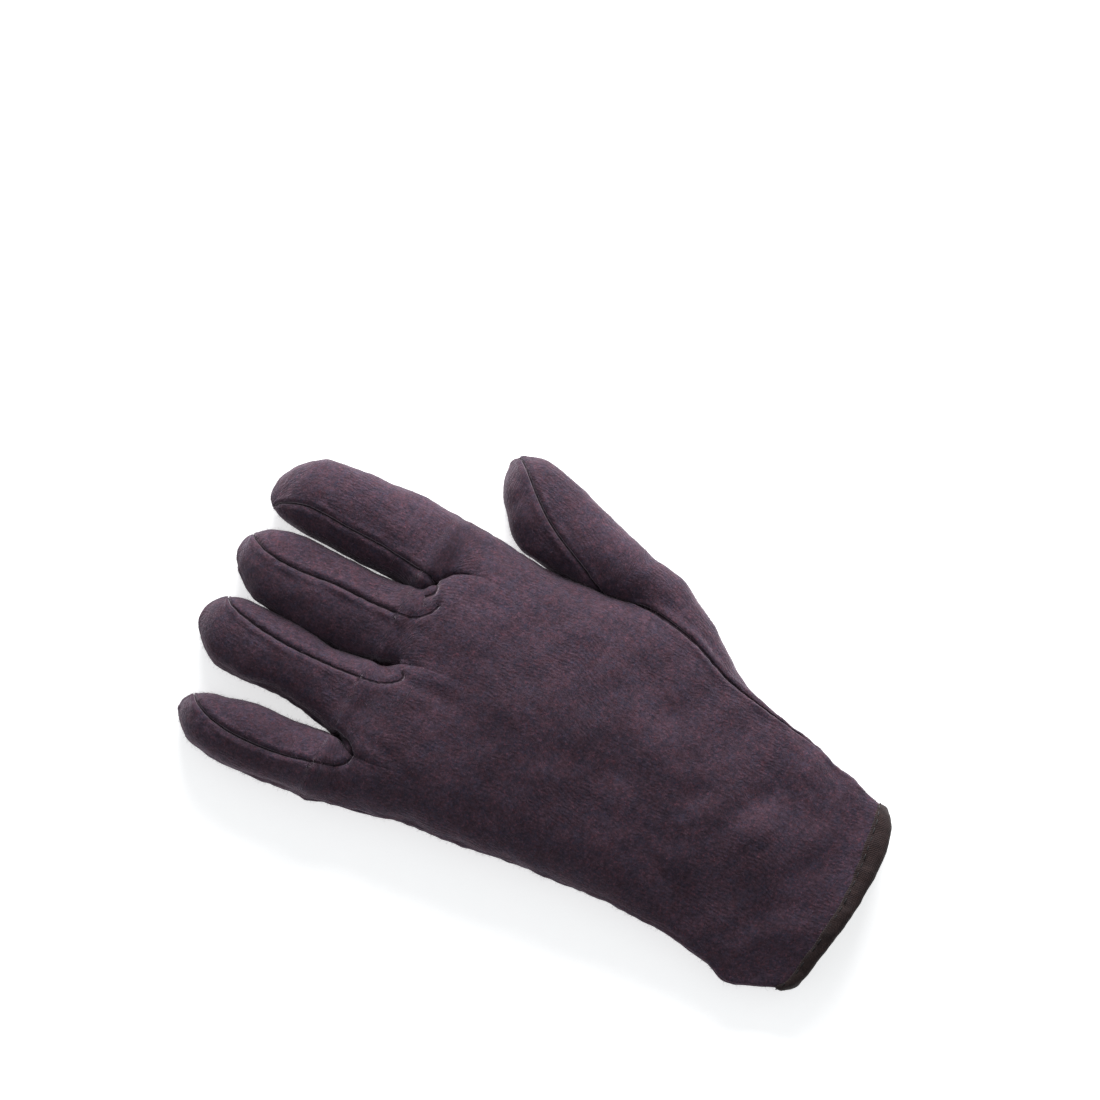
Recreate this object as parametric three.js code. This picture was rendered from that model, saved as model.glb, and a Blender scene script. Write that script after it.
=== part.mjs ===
// A jersey work glove for the left hand, cut and sewn, slip-on, with a bound cuff.
// It lies palm down: fingers along +Y, thumb on the +X side, back of the hand up, underside on Z = 0.
// It is hollow, and open at the cuff. All lengths are in millimetres and all angles in degrees.
import * as THREE from "three";

// Overall sizes
const HAND_LENGTH = 183; // cuff edge to the line where the fingers part
const KNUCKLE_WIDTH = 104;
const CUFF_WIDTH = 71;
const HAND_HEIGHT = 30; // at the highest place of the puffed hand
const CUFF_HEIGHT = 19;
const CUFF_BOW = 3.5; // how far the corners of the cuff lie behind the middle of its edge
const CUFF_BOW_REACH = 48; // distance from the edge where the bow has died away
const FINGER_LENGTH = 63; // of the middle finger, from where the fingers part
const FINGER_HEIGHT = 20;
const THUMB_CROTCH = 125; // cuff edge to the place where the thumb parts from the hand
const THUMB_LENGTH = 59.5;
const THUMB_WIDTH = 28;
const THUMB_HEIGHT = 20;
const SIDE_HEIGHT = 9.5; // of the widest line of the hand above the ground

// Cloth, tape and clearances
const WALL = 1.8;
const SEAM_GAP = 0.3; // between two pieces of cloth at a seam
const ROOT_SEAM_GAP = 2 * SEAM_GAP; // at the base seam of a finger's front
const TAPE_WIDTH = 4.5;
const TAPE_THICKNESS = 1.1;
const TAPE_GAP = 0.3; // between the tape and the cloth inside it
const CUFF_START = TAPE_THICKNESS + TAPE_GAP; // where the cloth ends inside the tape
const TAPE_LIFT_REACH = 5 * TAPE_WIDTH; // how far from the edge the tape still lifts the cloth off the ground

// The thumb's route: its direction from +Y at the root and at the tip, and how its root ring is turned
const THUMB_TURN = { root: 4, tip: 33 };
const THUMB_ROOT_SKEW = 21;

// Shape of the sections
const CROWN_ROUNDNESS = 0.8; // 1 is an ellipse, less is a fuller form
const UNDERSIDE_FULLNESS = 1.45; // over 1, the underside is flat where it meets the ground
const TIP_FLAT = 0.34; // width of the sewn end of a finger, as a share of the finger's width
const END_ROUNDING = 0.46; // length of a rounded finger end, as a share of the finger's width
const ROOT_HEIGHT = FINGER_HEIGHT + 0.3 * (HAND_HEIGHT - FINGER_HEIGHT); // of the hand where the fingers part

// Mesh steps
const FINGER_COLUMNS = 6; // across the back of one finger
const HAND_COLUMNS = 4 * FINGER_COLUMNS;
const THUMB_COLUMNS = 16; // round the thumb, in four equal quarters
const ROWS_BELOW_THUMB = 10;
const ROWS_ABOVE_THUMB = 6;
const FINGER_ROWS = [0.07, 0.16, 0.28, 0.42, 0.56, 0.7, 0.8, 0.88, 0.94, 0.98, 1];
const THUMB_ROWS = [0.1, 0.22, 0.36, 0.5, 0.64, 0.76, 0.86, 0.93, 0.98, 1];

// Sections of the hand from the cuff (at 0) to the line where the fingers part (at 1).
// spread: 0 is as wide as the cuff, 1 as the knuckles. shift: centre line, as a share of KNUCKLE_WIDTH.
// rise: 0 is as high as the cuff, 1 as the hand. parting: how far it is shaped as four fingers side by side.
const HAND_SECTIONS = [
  { at: 0.0, spread: 0.0, shift: -0.03, rise: 0.0, parting: 0 },
  { at: 0.05, spread: 0.22, shift: -0.031, rise: -0.04, parting: 0 },
  { at: 0.12, spread: 0.43, shift: -0.034, rise: 0.0, parting: 0 },
  { at: 0.2, spread: 0.43, shift: -0.009, rise: 0.14, parting: 0 },
  { at: 0.3, spread: 0.42, shift: 0.005, rise: 0.38, parting: 0 },
  { at: 0.4, spread: 0.47, shift: 0.01, rise: 0.64, parting: 0 },
  { at: 0.5, spread: 0.67, shift: 0.022, rise: 0.86, parting: 0 },
  { at: 0.6, spread: 0.82, shift: 0.022, rise: 0.97, parting: 0 },
  { at: 0.7, spread: 0.87, shift: -0.005, rise: 1.0, parting: 0 },
  { at: 0.8, spread: 0.9, shift: -0.024, rise: 0.97, parting: 0.03 },
  { at: 0.9, spread: 1.06, shift: -0.04, rise: 0.84, parting: 0.2 },
  { at: 1.0, spread: 1.22, shift: -0.064, rise: 0.3, parting: 1 },
];

// The root of the thumb from the cuff (at 0) to the thumb's crotch (at 1).
// out: how far it stands out past the edge of the hand, as a share of THUMB_WIDTH. seam: how far the back
// seam lies inside that edge, as a share of THUMB_WIDTH. palm: place of the palm seam between the middle
// of the hand (0) and that edge (1). parting: 0 where hand and thumb are one rounded form, 1 where they
// are two. skew: how far the section has turned to face the thumb, as a share of THUMB_ROOT_SKEW.
const THUMB_ROOT_SECTIONS = [
  { at: 0.0, out: 0.0, seam: 0.12, palm: 0.4, parting: 0, skew: 0 },
  { at: 0.3, out: 0.0, seam: 0.12, palm: 0.56, parting: 0, skew: 0 },
  { at: 0.5, out: 0.05, seam: 0.1, palm: 0.7, parting: 0, skew: 0.05 },
  { at: 0.64, out: 0.3, seam: 0.04, palm: 0.8, parting: 0.02, skew: 0.3 },
  { at: 0.78, out: 0.5, seam: 0.0, palm: 0.88, parting: 0.15, skew: 0.6 },
  { at: 0.9, out: 0.62, seam: 0.0, palm: 0.95, parting: 0.5, skew: 0.85 },
  { at: 1.0, out: 0.7, seam: 0.0, palm: 1, parting: 1, skew: 1 },
];

// The four fingers from the little finger to the index finger.
// root: the share of the hand's breadth that the finger takes where the fingers part. width: its full
// width, as a share of KNUCKLE_WIDTH. length: share of FINGER_LENGTH. lean and bend: sideways travel of
// its tip, as shares of FINGER_LENGTH, even and growing. thumbSeam and littleSeam: where the back's cloth
// ends, as angles round the finger from the thumb side (0) over the top (90) to the little side (180).
const LITTLE = { root: 0.217, width: 0.236, length: 0.88, lean: -0.075, bend: -0.02 };
const RING = { root: 0.257, width: 0.236, length: 0.985, lean: 0.0, bend: 0.02 };
const MIDDLE = { root: 0.255, width: 0.276, length: 1.0, lean: -0.005, bend: -0.04 };
const INDEX = { root: 0.271, width: 0.27, length: 0.985, lean: 0.0, bend: -0.07 };
const FINGERS = [
  { ...LITTLE, thumbSeam: 96, littleSeam: 184 },
  { ...RING, thumbSeam: 60, littleSeam: 184 },
  { ...MIDDLE, thumbSeam: 80, littleSeam: 184 },
  { ...INDEX, thumbSeam: -4, littleSeam: 112 },
];

// Sections along a finger from its root (at 0) to its tip (at 1), as shares of its own root and sizes.
// own: 0 is as wide and high as the root, 1 as the finger. width and height: shares of that size.
// side: height of its widest line, as a share of SIDE_HEIGHT. roll: how far the seams have turned from the
// sides to their places on the finger.
const FINGER_SECTIONS = [
  { at: 0.0, own: 0.0, width: 1.0, height: 1.0, side: 1.0, roll: 0.0 },
  { at: 0.12, own: 0.5, width: 0.98, height: 1.0, side: 0.98, roll: 0.7 },
  { at: 0.3, own: 1.0, width: 0.99, height: 1.0, side: 0.94, roll: 1.0 },
  { at: 0.6, own: 1.0, width: 0.97, height: 0.96, side: 0.86, roll: 1.0 },
  { at: 0.85, own: 1.0, width: 0.9, height: 0.86, side: 0.72, roll: 0.8 },
  { at: 1.0, own: 1.0, width: 0.84, height: 0.76, side: 0.6, roll: 0.0 },
];

// Sections along the thumb, in the same way. width and height: shares of THUMB_WIDTH and THUMB_HEIGHT.
// roll: how far its seam has turned from the side that faces the hand up towards the top.
const THUMB_SECTIONS = [
  { at: 0.0, width: 0.76, height: 1.0, side: 1.0, roll: 0.0 },
  { at: 0.2, width: 0.9, height: 1.02, side: 0.98, roll: 22 },
  { at: 0.45, width: 0.98, height: 1.0, side: 0.94, roll: 38 },
  { at: 0.7, width: 0.93, height: 0.92, side: 0.84, roll: 40 },
  { at: 0.9, width: 0.8, height: 0.78, side: 0.68, roll: 24 },
  { at: 1.0, width: 0.74, height: 0.7, side: 0.6, roll: 0.0 },
];

// Soft dents in the back of the hand. along and across: their middle, as shares of HAND_LENGTH and of half
// of KNUCKLE_WIDTH. long and wide: their reach, as shares of the same. depth: share of HAND_HEIGHT.
// turn: direction of the long axis from +Y.
const DENTS = [
  { along: 0.2, across: -0.35, long: 0.16, wide: 0.24, depth: 0.1, turn: -38 },
  { along: 0.24, across: 0.42, long: 0.2, wide: 0.2, depth: 0.07, turn: 24 },
  { along: 0.47, across: 0.5, long: 0.16, wide: 0.22, depth: 0.07, turn: 18 },
  { along: 0.86, across: -0.15, long: 0.12, wide: 0.2, depth: 0.05, turn: 0 },
];

const mix = (a, b, share) => a + (b - a) * share;
const sin = (angle) => Math.sin(THREE.MathUtils.degToRad(angle));
const cos = (angle) => Math.cos(THREE.MathUtils.degToRad(angle));
const tan = (angle) => sin(angle) / cos(angle);
const eased = (share) => share * share * (3 - 2 * share);
const fuller = (value) => Math.pow(value, CROWN_ROUNDNESS);
const steps = (count) => [...Array(count + 1).keys()];

// Slope of a column of a table at one row, level where the column turns, so that the curve never overshoots.
function slopeAt(rows, i, column) {
  if (i === 0 || i === rows.length - 1) return 0;
  const before = (rows[i][column] - rows[i - 1][column]) / (rows[i].at - rows[i - 1].at);
  const after = (rows[i + 1][column] - rows[i][column]) / (rows[i + 1].at - rows[i].at);
  if (before * after <= 0) return 0;
  return (2 * before * after) / (before + after);
}

// A row of a table at any place, on a smooth curve through the rows that it holds.
function sectionAt(rows, at) {
  const last = rows.length - 2;
  const i = Math.min(last, Math.max(0, rows.findIndex((row) => row.at > at) - 1));
  const start = at >= rows[last + 1].at ? last : i;
  const span = rows[start + 1].at - rows[start].at;
  const t = THREE.MathUtils.clamp((at - rows[start].at) / span, 0, 1);
  const section = {};
  for (const column of Object.keys(rows[0])) {
    const a = rows[start][column];
    const b = rows[start + 1][column];
    const leave = slopeAt(rows, start, column) * span;
    const arrive = slopeAt(rows, start + 1, column) * span;
    section[column] = mix(a, b, eased(t)) + leave * t * (1 - t) ** 2 - arrive * t * t * (1 - t);
  }
  return section;
}

// Height of the underside above the ground: the cloth is lifted by the tape where it enters the tape.
function groundUnder(y) {
  const share = THREE.MathUtils.clamp(y / TAPE_LIFT_REACH, 0, 1);
  return CUFF_START * (1 - eased(share));
}

// Edges and heights of the hand at a distance from the cuff.
function handAt(y) {
  const { spread, shift, rise, parting } = sectionAt(HAND_SECTIONS, y / HAND_LENGTH);
  const half = mix(CUFF_WIDTH, KNUCKLE_WIDTH, spread) / 2;
  const middle = shift * KNUCKLE_WIDTH;
  const height = mix(CUFF_HEIGHT, HAND_HEIGHT, rise);
  const side = Math.min(SIDE_HEIGHT, height / 2);
  return { y, half, middle, height, side, parting, ground: groundUnder(y) };
}

// How far the dents push in the back of the hand at one place.
function dentAt(x, y) {
  let depth = 0;
  for (const dent of DENTS) {
    const dx = x - (dent.across * KNUCKLE_WIDTH) / 2;
    const dy = y - dent.along * HAND_LENGTH;
    const along = (dx * sin(dent.turn) + dy * cos(dent.turn)) / (dent.long * HAND_LENGTH);
    const across = (dx * cos(dent.turn) - dy * sin(dent.turn)) / ((dent.wide * KNUCKLE_WIDTH) / 2);
    depth += dent.depth * HAND_HEIGHT * Math.exp(-along * along - across * across);
  }
  return depth;
}

// Places where one finger ends and the next begins, as shares of the breadth where they part.
const ROOT_EDGES = [0];
for (const finger of FINGERS) ROOT_EDGES.push(ROOT_EDGES.at(-1) + finger.root);
const breadthShare = (edge) => ROOT_EDGES[edge] / ROOT_EDGES.at(-1);

// The heights of a rounded form: its widest line, its top, its underside, and the ground that flattens it.
// closing: 1 where it is full, 0 where it is sewn flat. inset: how far inside the cloth the form is taken.
function heightsOf(side, top, ground, closing, inset) {
  return {
    side,
    top: Math.max(side, mix(side, top, closing) - inset),
    bottom: Math.min(side, side - (side - ground) * UNDERSIDE_FULLNESS * closing + inset),
    ground: Math.min(side, ground + inset),
  };
}
function heightAt(heights, angle) {
  const round = fuller(Math.abs(sin(angle)));
  if (sin(angle) >= 0) return mix(heights.side, heights.top, round);
  return Math.max(heights.ground, mix(heights.side, heights.bottom, round));
}

// The hand as one rounded form, at an angle round it: 0 is the thumb side, 180 the little side.
function roundedPoint(hand, middle, half, angle) {
  const x = middle + half * cos(angle);
  const heights = heightsOf(hand.side, hand.height - dentAt(x, hand.y), hand.ground, 1, 0);
  return new THREE.Vector3(x, hand.y, heightAt(heights, angle));
}

// The hand as four fingers side by side. column counts from the little side, side is 1 over the back.
function fingeredPoint(hand, column, side) {
  const finger = fingerOf(column);
  const angle = rootAngle(column) * side;
  const share = mix(breadthShare(finger), breadthShare(finger + 1), (1 + cos(angle)) / 2);
  const x = hand.middle + hand.half * (2 * share - 1);
  const heights = heightsOf(hand.side, ROOT_HEIGHT, hand.ground, 1, 0);
  return new THREE.Vector3(x, hand.y, heightAt(heights, angle));
}
function fingerOf(column) {
  return Math.min(FINGERS.length - 1, Math.floor(column / FINGER_COLUMNS));
}
function rootAngle(column) {
  return 180 * (1 - (column - fingerOf(column) * FINGER_COLUMNS) / FINGER_COLUMNS);
}

// A point of the hand without the thumb.
function handPoint(hand, column, side) {
  const angle = 180 * (1 - column / HAND_COLUMNS) * side;
  const rounded = roundedPoint(hand, hand.middle, hand.half, angle);
  return rounded.lerp(fingeredPoint(hand, column, side), hand.parting);
}

// One section of the hand, as three lists of points that run the same way round: the back from the little
// side to the thumb side, the thumb's root on round to the palm seam, and the palm back to the little side.
function handLoops(y) {
  const hand = handAt(y);
  const across = steps(HAND_COLUMNS);
  if (y > THUMB_CROTCH) {
    return {
      back: across.map((column) => handPoint(hand, column, 1)),
      palm: across.map((column) => handPoint(hand, HAND_COLUMNS - column, -1)),
      thumb: null,
    };
  }
  const root = sectionAt(THUMB_ROOT_SECTIONS, y / THUMB_CROTCH);
  const edge = hand.middle + hand.half;
  const out = edge + root.out * THUMB_WIDTH;
  const little = hand.middle - hand.half;
  const [middle, half] = [(little + out) / 2, (out - little) / 2];
  const angleOf = (x) => {
    const across = THREE.MathUtils.clamp((x - middle) / half, -1, 1);
    return THREE.MathUtils.radToDeg(Math.acos(across));
  };
  const seamX = edge - root.seam * THUMB_WIDTH;
  const backSeam = angleOf(seamX);
  const palmSeam = -angleOf(mix(hand.middle, edge, root.palm));
  const lag = tan(root.skew * THUMB_ROOT_SKEW);
  const whole = (start, end, share) => roundedPoint(hand, middle, half, mix(start, end, share));
  const place = (point, lobe) => {
    const placed = point.lerp(lobe, root.parting);
    return placed.setY(y - lag * Math.max(0, placed.x - seamX));
  };
  const ringHeights = heightsOf(hand.side, THUMB_HEIGHT, hand.ground, 1, 0);
  const ring = (share) => {
    const angle = 180 - 360 * share;
    const x = (edge + out) / 2 + ((out - edge) / 2) * cos(angle);
    return new THREE.Vector3(x, y, heightAt(ringHeights, angle));
  };
  return {
    back: across.map((column) =>
      place(whole(180, backSeam, column / HAND_COLUMNS), handPoint(hand, column, 1)),
    ),
    thumb: steps(THUMB_COLUMNS).map((column) =>
      place(whole(backSeam, palmSeam, column / THUMB_COLUMNS), ring(column / THUMB_COLUMNS)),
    ),
    palm: across.map((column) =>
      place(whole(palmSeam, -180, column / HAND_COLUMNS), handPoint(hand, HAND_COLUMNS - column, -1)),
    ),
  };
}

// The same loop moved along its own normals, in the plane of the section; inwards where by is negative.
function offsetLoop(loop, by) {
  return loop.map((point, i) => {
    const before = loop[(i + loop.length - 1) % loop.length];
    const after = loop[(i + 1) % loop.length];
    const a = normalOf(before, point);
    const b = normalOf(point, after);
    const sum = a.clone().add(b);
    const scale = (2 * by) / Math.max(sum.lengthSq(), 1);
    return point.clone().addScaledVector(sum, scale);
  });
}
function normalOf(from, to) {
  return new THREE.Vector3(from.z - to.z, 0, to.x - from.x).normalize();
}

// The inner point of a crotch, where the cloth turns back on itself.
function behind(point) {
  return point.clone().add(new THREE.Vector3(0, -WALL, 0));
}

// A section as outer and inner points, a wall apart.
function clothSection(y) {
  const outer = handLoops(y);
  if (y < THUMB_CROTCH) {
    const loop = [...outer.back, ...outer.thumb.slice(1), ...outer.palm.slice(1, -1)];
    const inner = offsetLoop(loop, -WALL);
    const palmStart = HAND_COLUMNS + THUMB_COLUMNS;
    return {
      outer,
      inner: {
        back: inner.slice(0, HAND_COLUMNS + 1),
        thumb: inner.slice(HAND_COLUMNS, palmStart + 1),
        palm: [...inner.slice(palmStart), inner[0]],
      },
    };
  }
  const loop = [...outer.back, ...outer.palm.slice(1, -1)];
  const moved = offsetLoop(loop, -WALL);
  const inner = {
    back: moved.slice(0, HAND_COLUMNS + 1),
    palm: [...moved.slice(HAND_COLUMNS), moved[0]],
    thumb: null,
  };
  if (outer.thumb) {
    inner.thumb = [...offsetLoop(outer.thumb.slice(0, -1), -WALL), null];
    const crotch = behind(outer.thumb[0]);
    inner.back[HAND_COLUMNS] = crotch;
    inner.palm[0] = crotch;
    inner.thumb[0] = crotch;
    inner.thumb[THUMB_COLUMNS] = crotch;
  }
  return { outer, inner };
}

// The last section of the hand, where the fingers part: each inner point lies a wall behind and inside.
function partingSection() {
  const outer = handLoops(HAND_LENGTH);
  const hand = handAt(HAND_LENGTH);
  const inwards = (point, column, side) => {
    const atHandSide = column === 0 || column === HAND_COLUMNS;
    const lift = -side * WALL * sin(rootAngle(column));
    const x = atHandSide ? point.x - WALL * Math.sign(point.x - hand.middle) : point.x;
    return behind(new THREE.Vector3(x, point.y, point.z + lift));
  };
  return {
    outer,
    inner: {
      back: outer.back.map((point, c) => inwards(point, c, 1)),
      palm: outer.palm.map((point, c) => inwards(point, HAND_COLUMNS - c, -1)),
    },
  };
}

// How wide (or high) a rounded end still is at a share of its length. end: what is left at the very end.
function roundedEnd(at, start, end) {
  const share = THREE.MathUtils.clamp((at - start) / (1 - start), 0, 1);
  return Math.sqrt(1 - (1 - end * end) * share * share);
}

// A point round a finger: at its share of the length, and at an angle as in the table of fingers.
function fingerPoint(index, at, angle, inset) {
  const finger = FINGERS[index];
  const hand = handAt(HAND_LENGTH);
  const section = sectionAt(FINGER_SECTIONS, at);
  const length = finger.length * FINGER_LENGTH;
  const [start, end] = [breadthShare(index), breadthShare(index + 1)];
  const rootX = hand.middle + hand.half * (start + end - 1);
  const width = mix(2 * hand.half * (end - start), finger.width * KNUCKLE_WIDTH, section.own);
  const endStart = 1 - (END_ROUNDING * width) / length;
  const half = (width / 2) * section.width * roundedEnd(at, endStart, TIP_FLAT) - inset;
  const top = mix(ROOT_HEIGHT, FINGER_HEIGHT, section.own) * section.height;
  const heights = heightsOf(SIDE_HEIGHT * section.side, top, 0, roundedEnd(at, endStart, 0), inset);
  const x = rootX + FINGER_LENGTH * (finger.lean * at + finger.bend * at * at) + half * cos(angle);
  return new THREE.Vector3(x, HAND_LENGTH + at * length - inset, heightAt(heights, angle));
}
function fingerRow(index, at, part, inset) {
  const finger = FINGERS[index];
  const { roll } = sectionAt(FINGER_SECTIONS, at);
  const thumbSide = finger.thumbSeam * roll;
  const littleSide = mix(180, finger.littleSeam, roll);
  const start = part === "back" ? littleSide : thumbSide;
  const end = part === "back" ? thumbSide : littleSide - 360;
  return steps(FINGER_COLUMNS).map((column) =>
    fingerPoint(index, at, mix(start, end, column / FINGER_COLUMNS), inset),
  );
}

// The middle of the thumb at a share of its length, with the directions across and along it.
function thumbFrame(at) {
  const hand = handAt(THUMB_CROTCH);
  const reach = (THUMB_ROOT_SECTIONS.at(-1).out * THUMB_WIDTH) / 2;
  const bend = THREE.MathUtils.degToRad(THUMB_TURN.tip - THUMB_TURN.root);
  const here = mix(THUMB_TURN.root, THUMB_TURN.tip, at);
  const facing = mix(THUMB_ROOT_SKEW, THUMB_TURN.tip, at);
  const x = hand.middle + hand.half + reach + (THUMB_LENGTH * (cos(THUMB_TURN.root) - cos(here))) / bend;
  const y =
    THUMB_CROTCH - reach * tan(THUMB_ROOT_SKEW) + (THUMB_LENGTH * (sin(here) - sin(THUMB_TURN.root))) / bend;
  return {
    centre: new THREE.Vector3(x, y, 0),
    across: new THREE.Vector3(cos(facing), -sin(facing), 0),
    along: new THREE.Vector3(sin(here), cos(here), 0),
  };
}

// How far a row of the thumb moves out, so that its inner side stays clear of the edge of the hand.
function clearOfHand(at, centre, across, half) {
  const inner = centre.clone().addScaledVector(across, -half);
  const hand = handAt(inner.y);
  const clearance = SEAM_GAP * Math.min(1, at / THUMB_ROWS[1]);
  return Math.max(0, hand.middle + hand.half + clearance - inner.x);
}
function thumbRow(at, inset) {
  const section = sectionAt(THUMB_SECTIONS, at);
  const { centre, across, along } = thumbFrame(at);
  const endStart = 1 - (END_ROUNDING * THUMB_WIDTH) / THUMB_LENGTH;
  const full = ((section.width * THUMB_WIDTH) / 2) * roundedEnd(at, endStart, TIP_FLAT);
  centre.x += clearOfHand(at, centre, across, full);
  const half = full - inset;
  const closing = roundedEnd(at, endStart, 0);
  const heights = heightsOf(SIDE_HEIGHT * section.side, section.height * THUMB_HEIGHT, 0, closing, inset);
  return steps(THUMB_COLUMNS).map((column) => {
    const angle = 180 - section.roll - (360 * column) / THUMB_COLUMNS;
    const point = centre.clone().addScaledVector(across, half * cos(angle)).addScaledVector(along, -inset);
    return point.setZ(heightAt(heights, angle));
  });
}

// A piece of cloth: an outer and an inner sheet on the same cells, closed along its edges.
// Its edges are drawn back from the seam line by half of the seam gap.
class Cloth {
  constructor() {
    this.outer = [];
    this.inner = [];
    this.cells = [];
  }
  row(outer, inner) {
    return outer.map((point, i) => {
      this.outer.push(point.clone());
      this.inner.push(inner[i].clone());
      return this.outer.length - 1;
    });
  }
  join(first, second) {
    for (let i = 0; i + 1 < first.length; i += 1) {
      this.cells.push([first[i], first[i + 1], second[i + 1], second[i]]);
    }
  }
  // The edges that only one cell has, as pairs in that cell's own direction.
  edges() {
    const seen = new Map();
    for (const cell of this.cells) {
      cell.forEach((from, i) => {
        const to = cell[(i + 1) % 4];
        const back = `${to}_${from}`;
        if (seen.has(back)) seen.delete(back);
        else seen.set(`${from}_${to}`, { from, to, cell });
      });
    }
    return [...seen.values()];
  }
  drawBack(points) {
    const pull = new Map();
    for (const { from, to, cell } of this.edges()) {
      const middle = new THREE.Vector3();
      for (const corner of cell) middle.addScaledVector(points[corner], 1 / 4);
      const along = points[to].clone().sub(points[from]).normalize();
      const inwards = middle.sub(points[from]);
      inwards.addScaledVector(along, -inwards.dot(along)).normalize();
      for (const end of [from, to]) {
        if (!pull.has(end)) pull.set(end, new THREE.Vector3());
        pull.get(end).add(inwards);
      }
    }
    for (const [vertex, direction] of pull) {
      const scale = Math.max(direction.length(), 1);
      points[vertex].addScaledVector(direction, SEAM_GAP / 2 / scale);
    }
  }
  // The faces of an edge split the same way on both sides of a seam, so that the two never cross.
  geometry() {
    const shift = this.outer.length;
    const index = [];
    const face = (a, b, c, d) => index.push(a, b, c, a, c, d);
    for (const [a, b, c, d] of this.cells) {
      face(a, b, c, d);
      face(shift + d, shift + c, shift + b, shift + a);
    }
    for (const { from, to } of this.edges()) {
      if (this.comesFirst(from, to)) face(from, shift + from, shift + to, to);
      else face(to, from, shift + from, shift + to);
    }
    this.drawBack(this.outer);
    this.drawBack(this.inner);
    return meshOf([...this.outer, ...this.inner], index);
  }
  comesFirst(from, to) {
    const [a, b] = [this.outer[from], this.outer[to]];
    return a.y !== b.y ? a.y < b.y : a.x < b.x;
  }
}

// The corners of the cuff lie behind the middle of its edge; further up, the form is as it was.
function bowed(point) {
  const edge = handAt(0);
  const across = THREE.MathUtils.clamp((point.x - edge.middle) / edge.half, -1, 1);
  const near = 1 - eased(THREE.MathUtils.clamp(point.y / CUFF_BOW_REACH, 0, 1));
  return point.setY(point.y + CUFF_BOW * across * across * near);
}
function meshOf(points, index) {
  const geometry = new THREE.BufferGeometry().setFromPoints(points.map(bowed));
  geometry.setIndex(index);
  geometry.computeVertexNormals();
  return geometry;
}

// Distances from the cuff at which the hand has a section.
function handStations() {
  const afterTape = TAPE_WIDTH + WALL / 2;
  const stations = [CUFF_START, afterTape];
  for (let i = 1; i <= ROWS_BELOW_THUMB; i += 1) {
    stations.push(mix(afterTape, THUMB_CROTCH, i / ROWS_BELOW_THUMB));
  }
  for (let i = 1; i < ROWS_ABOVE_THUMB; i += 1) {
    stations.push(mix(THUMB_CROTCH, HAND_LENGTH, i / ROWS_ABOVE_THUMB));
  }
  return stations;
}

function joinRows(cloth, rows) {
  for (let i = 0; i + 1 < rows.length; i += 1) cloth.join(rows[i], rows[i + 1]);
}
function addFinger(cloth, index, part, rootRow) {
  const rows = FINGER_ROWS.map((at) =>
    cloth.row(fingerRow(index, at, part, 0), fingerRow(index, at, part, WALL)),
  );
  joinRows(cloth, [rootRow, ...rows]);
}

// Columns of the parting section that belong to one finger, in the back or in the palm.
function fingerColumns(index, part) {
  const first = (part === "back" ? index : FINGERS.length - 1 - index) * FINGER_COLUMNS;
  return [first, first + FINGER_COLUMNS + 1];
}

const SECTIONS = handStations().map(clothSection);
const PARTING = partingSection();

function buildBackPanel() {
  const cloth = new Cloth();
  const rows = [...SECTIONS, PARTING].map(({ outer, inner }) => cloth.row(outer.back, inner.back));
  joinRows(cloth, rows);
  FINGERS.forEach((_, index) => {
    addFinger(cloth, index, "back", rows.at(-1).slice(...fingerColumns(index, "back")));
  });
  return cloth.geometry();
}

function buildPalmPanel() {
  const cloth = new Cloth();
  const rows = [...SECTIONS, PARTING].map(({ outer, inner }) => cloth.row(outer.palm, inner.palm));
  joinRows(cloth, rows);
  for (const index of [0, FINGERS.length - 1]) {
    addFinger(cloth, index, "front", rows.at(-1).slice(...fingerColumns(index, "front")));
  }
  return cloth.geometry();
}

function buildFingerFront(index) {
  const cloth = new Cloth();
  const start = ROOT_SEAM_GAP / (FINGERS[index].length * FINGER_LENGTH);
  const root = cloth.row(fingerRow(index, start, "front", 0), fingerRow(index, start, "front", WALL));
  addFinger(cloth, index, "front", root);
  return cloth.geometry();
}

function buildThumbPanel() {
  const cloth = new Cloth();
  const roots = SECTIONS.filter(({ outer }) => outer.thumb);
  const rows = roots.map(({ outer, inner }) => cloth.row(outer.thumb, inner.thumb));
  for (const at of THUMB_ROWS) rows.push(cloth.row(thumbRow(at, 0), thumbRow(at, WALL)));
  joinRows(cloth, rows);
  return cloth.geometry();
}

// The tape: a channel folded round the edge of the cuff, open towards the hand and flat on the ground.
function buildCuffBinding() {
  const outside = { face: TAPE_GAP + TAPE_THICKNESS, back: TAPE_GAP };
  const inside = { face: -(WALL + TAPE_GAP + TAPE_THICKNESS), back: -(WALL + TAPE_GAP) };
  const channel = [
    { y: 0, out: outside.face },
    { y: TAPE_WIDTH, out: outside.face },
    { y: TAPE_WIDTH, out: outside.back },
    { y: TAPE_THICKNESS, out: outside.back },
    { y: TAPE_THICKNESS, out: inside.back },
    { y: TAPE_WIDTH, out: inside.back },
    { y: TAPE_WIDTH, out: inside.face },
    { y: 0, out: inside.face },
  ];
  const points = [];
  const index = [];
  for (const { y, out } of channel) {
    const { back, thumb, palm } = handLoops(Math.max(y, CUFF_START));
    const loop = offsetLoop([...back, ...thumb.slice(1), ...palm.slice(1, -1)], out);
    points.push(...loop.map((point) => new THREE.Vector3(point.x, y, Math.max(0, point.z))));
  }
  const round = points.length / channel.length;
  for (let row = 0; row < channel.length; row += 1) {
    const next = (row + 1) % channel.length;
    for (let i = 0; i < round; i += 1) {
      const after = (i + 1) % round;
      const [a, b] = [row * round + i, row * round + after];
      const [c, d] = [next * round + after, next * round + i];
      index.push(a, b, c, a, c, d);
    }
  }
  return meshOf(points, index);
}

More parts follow.
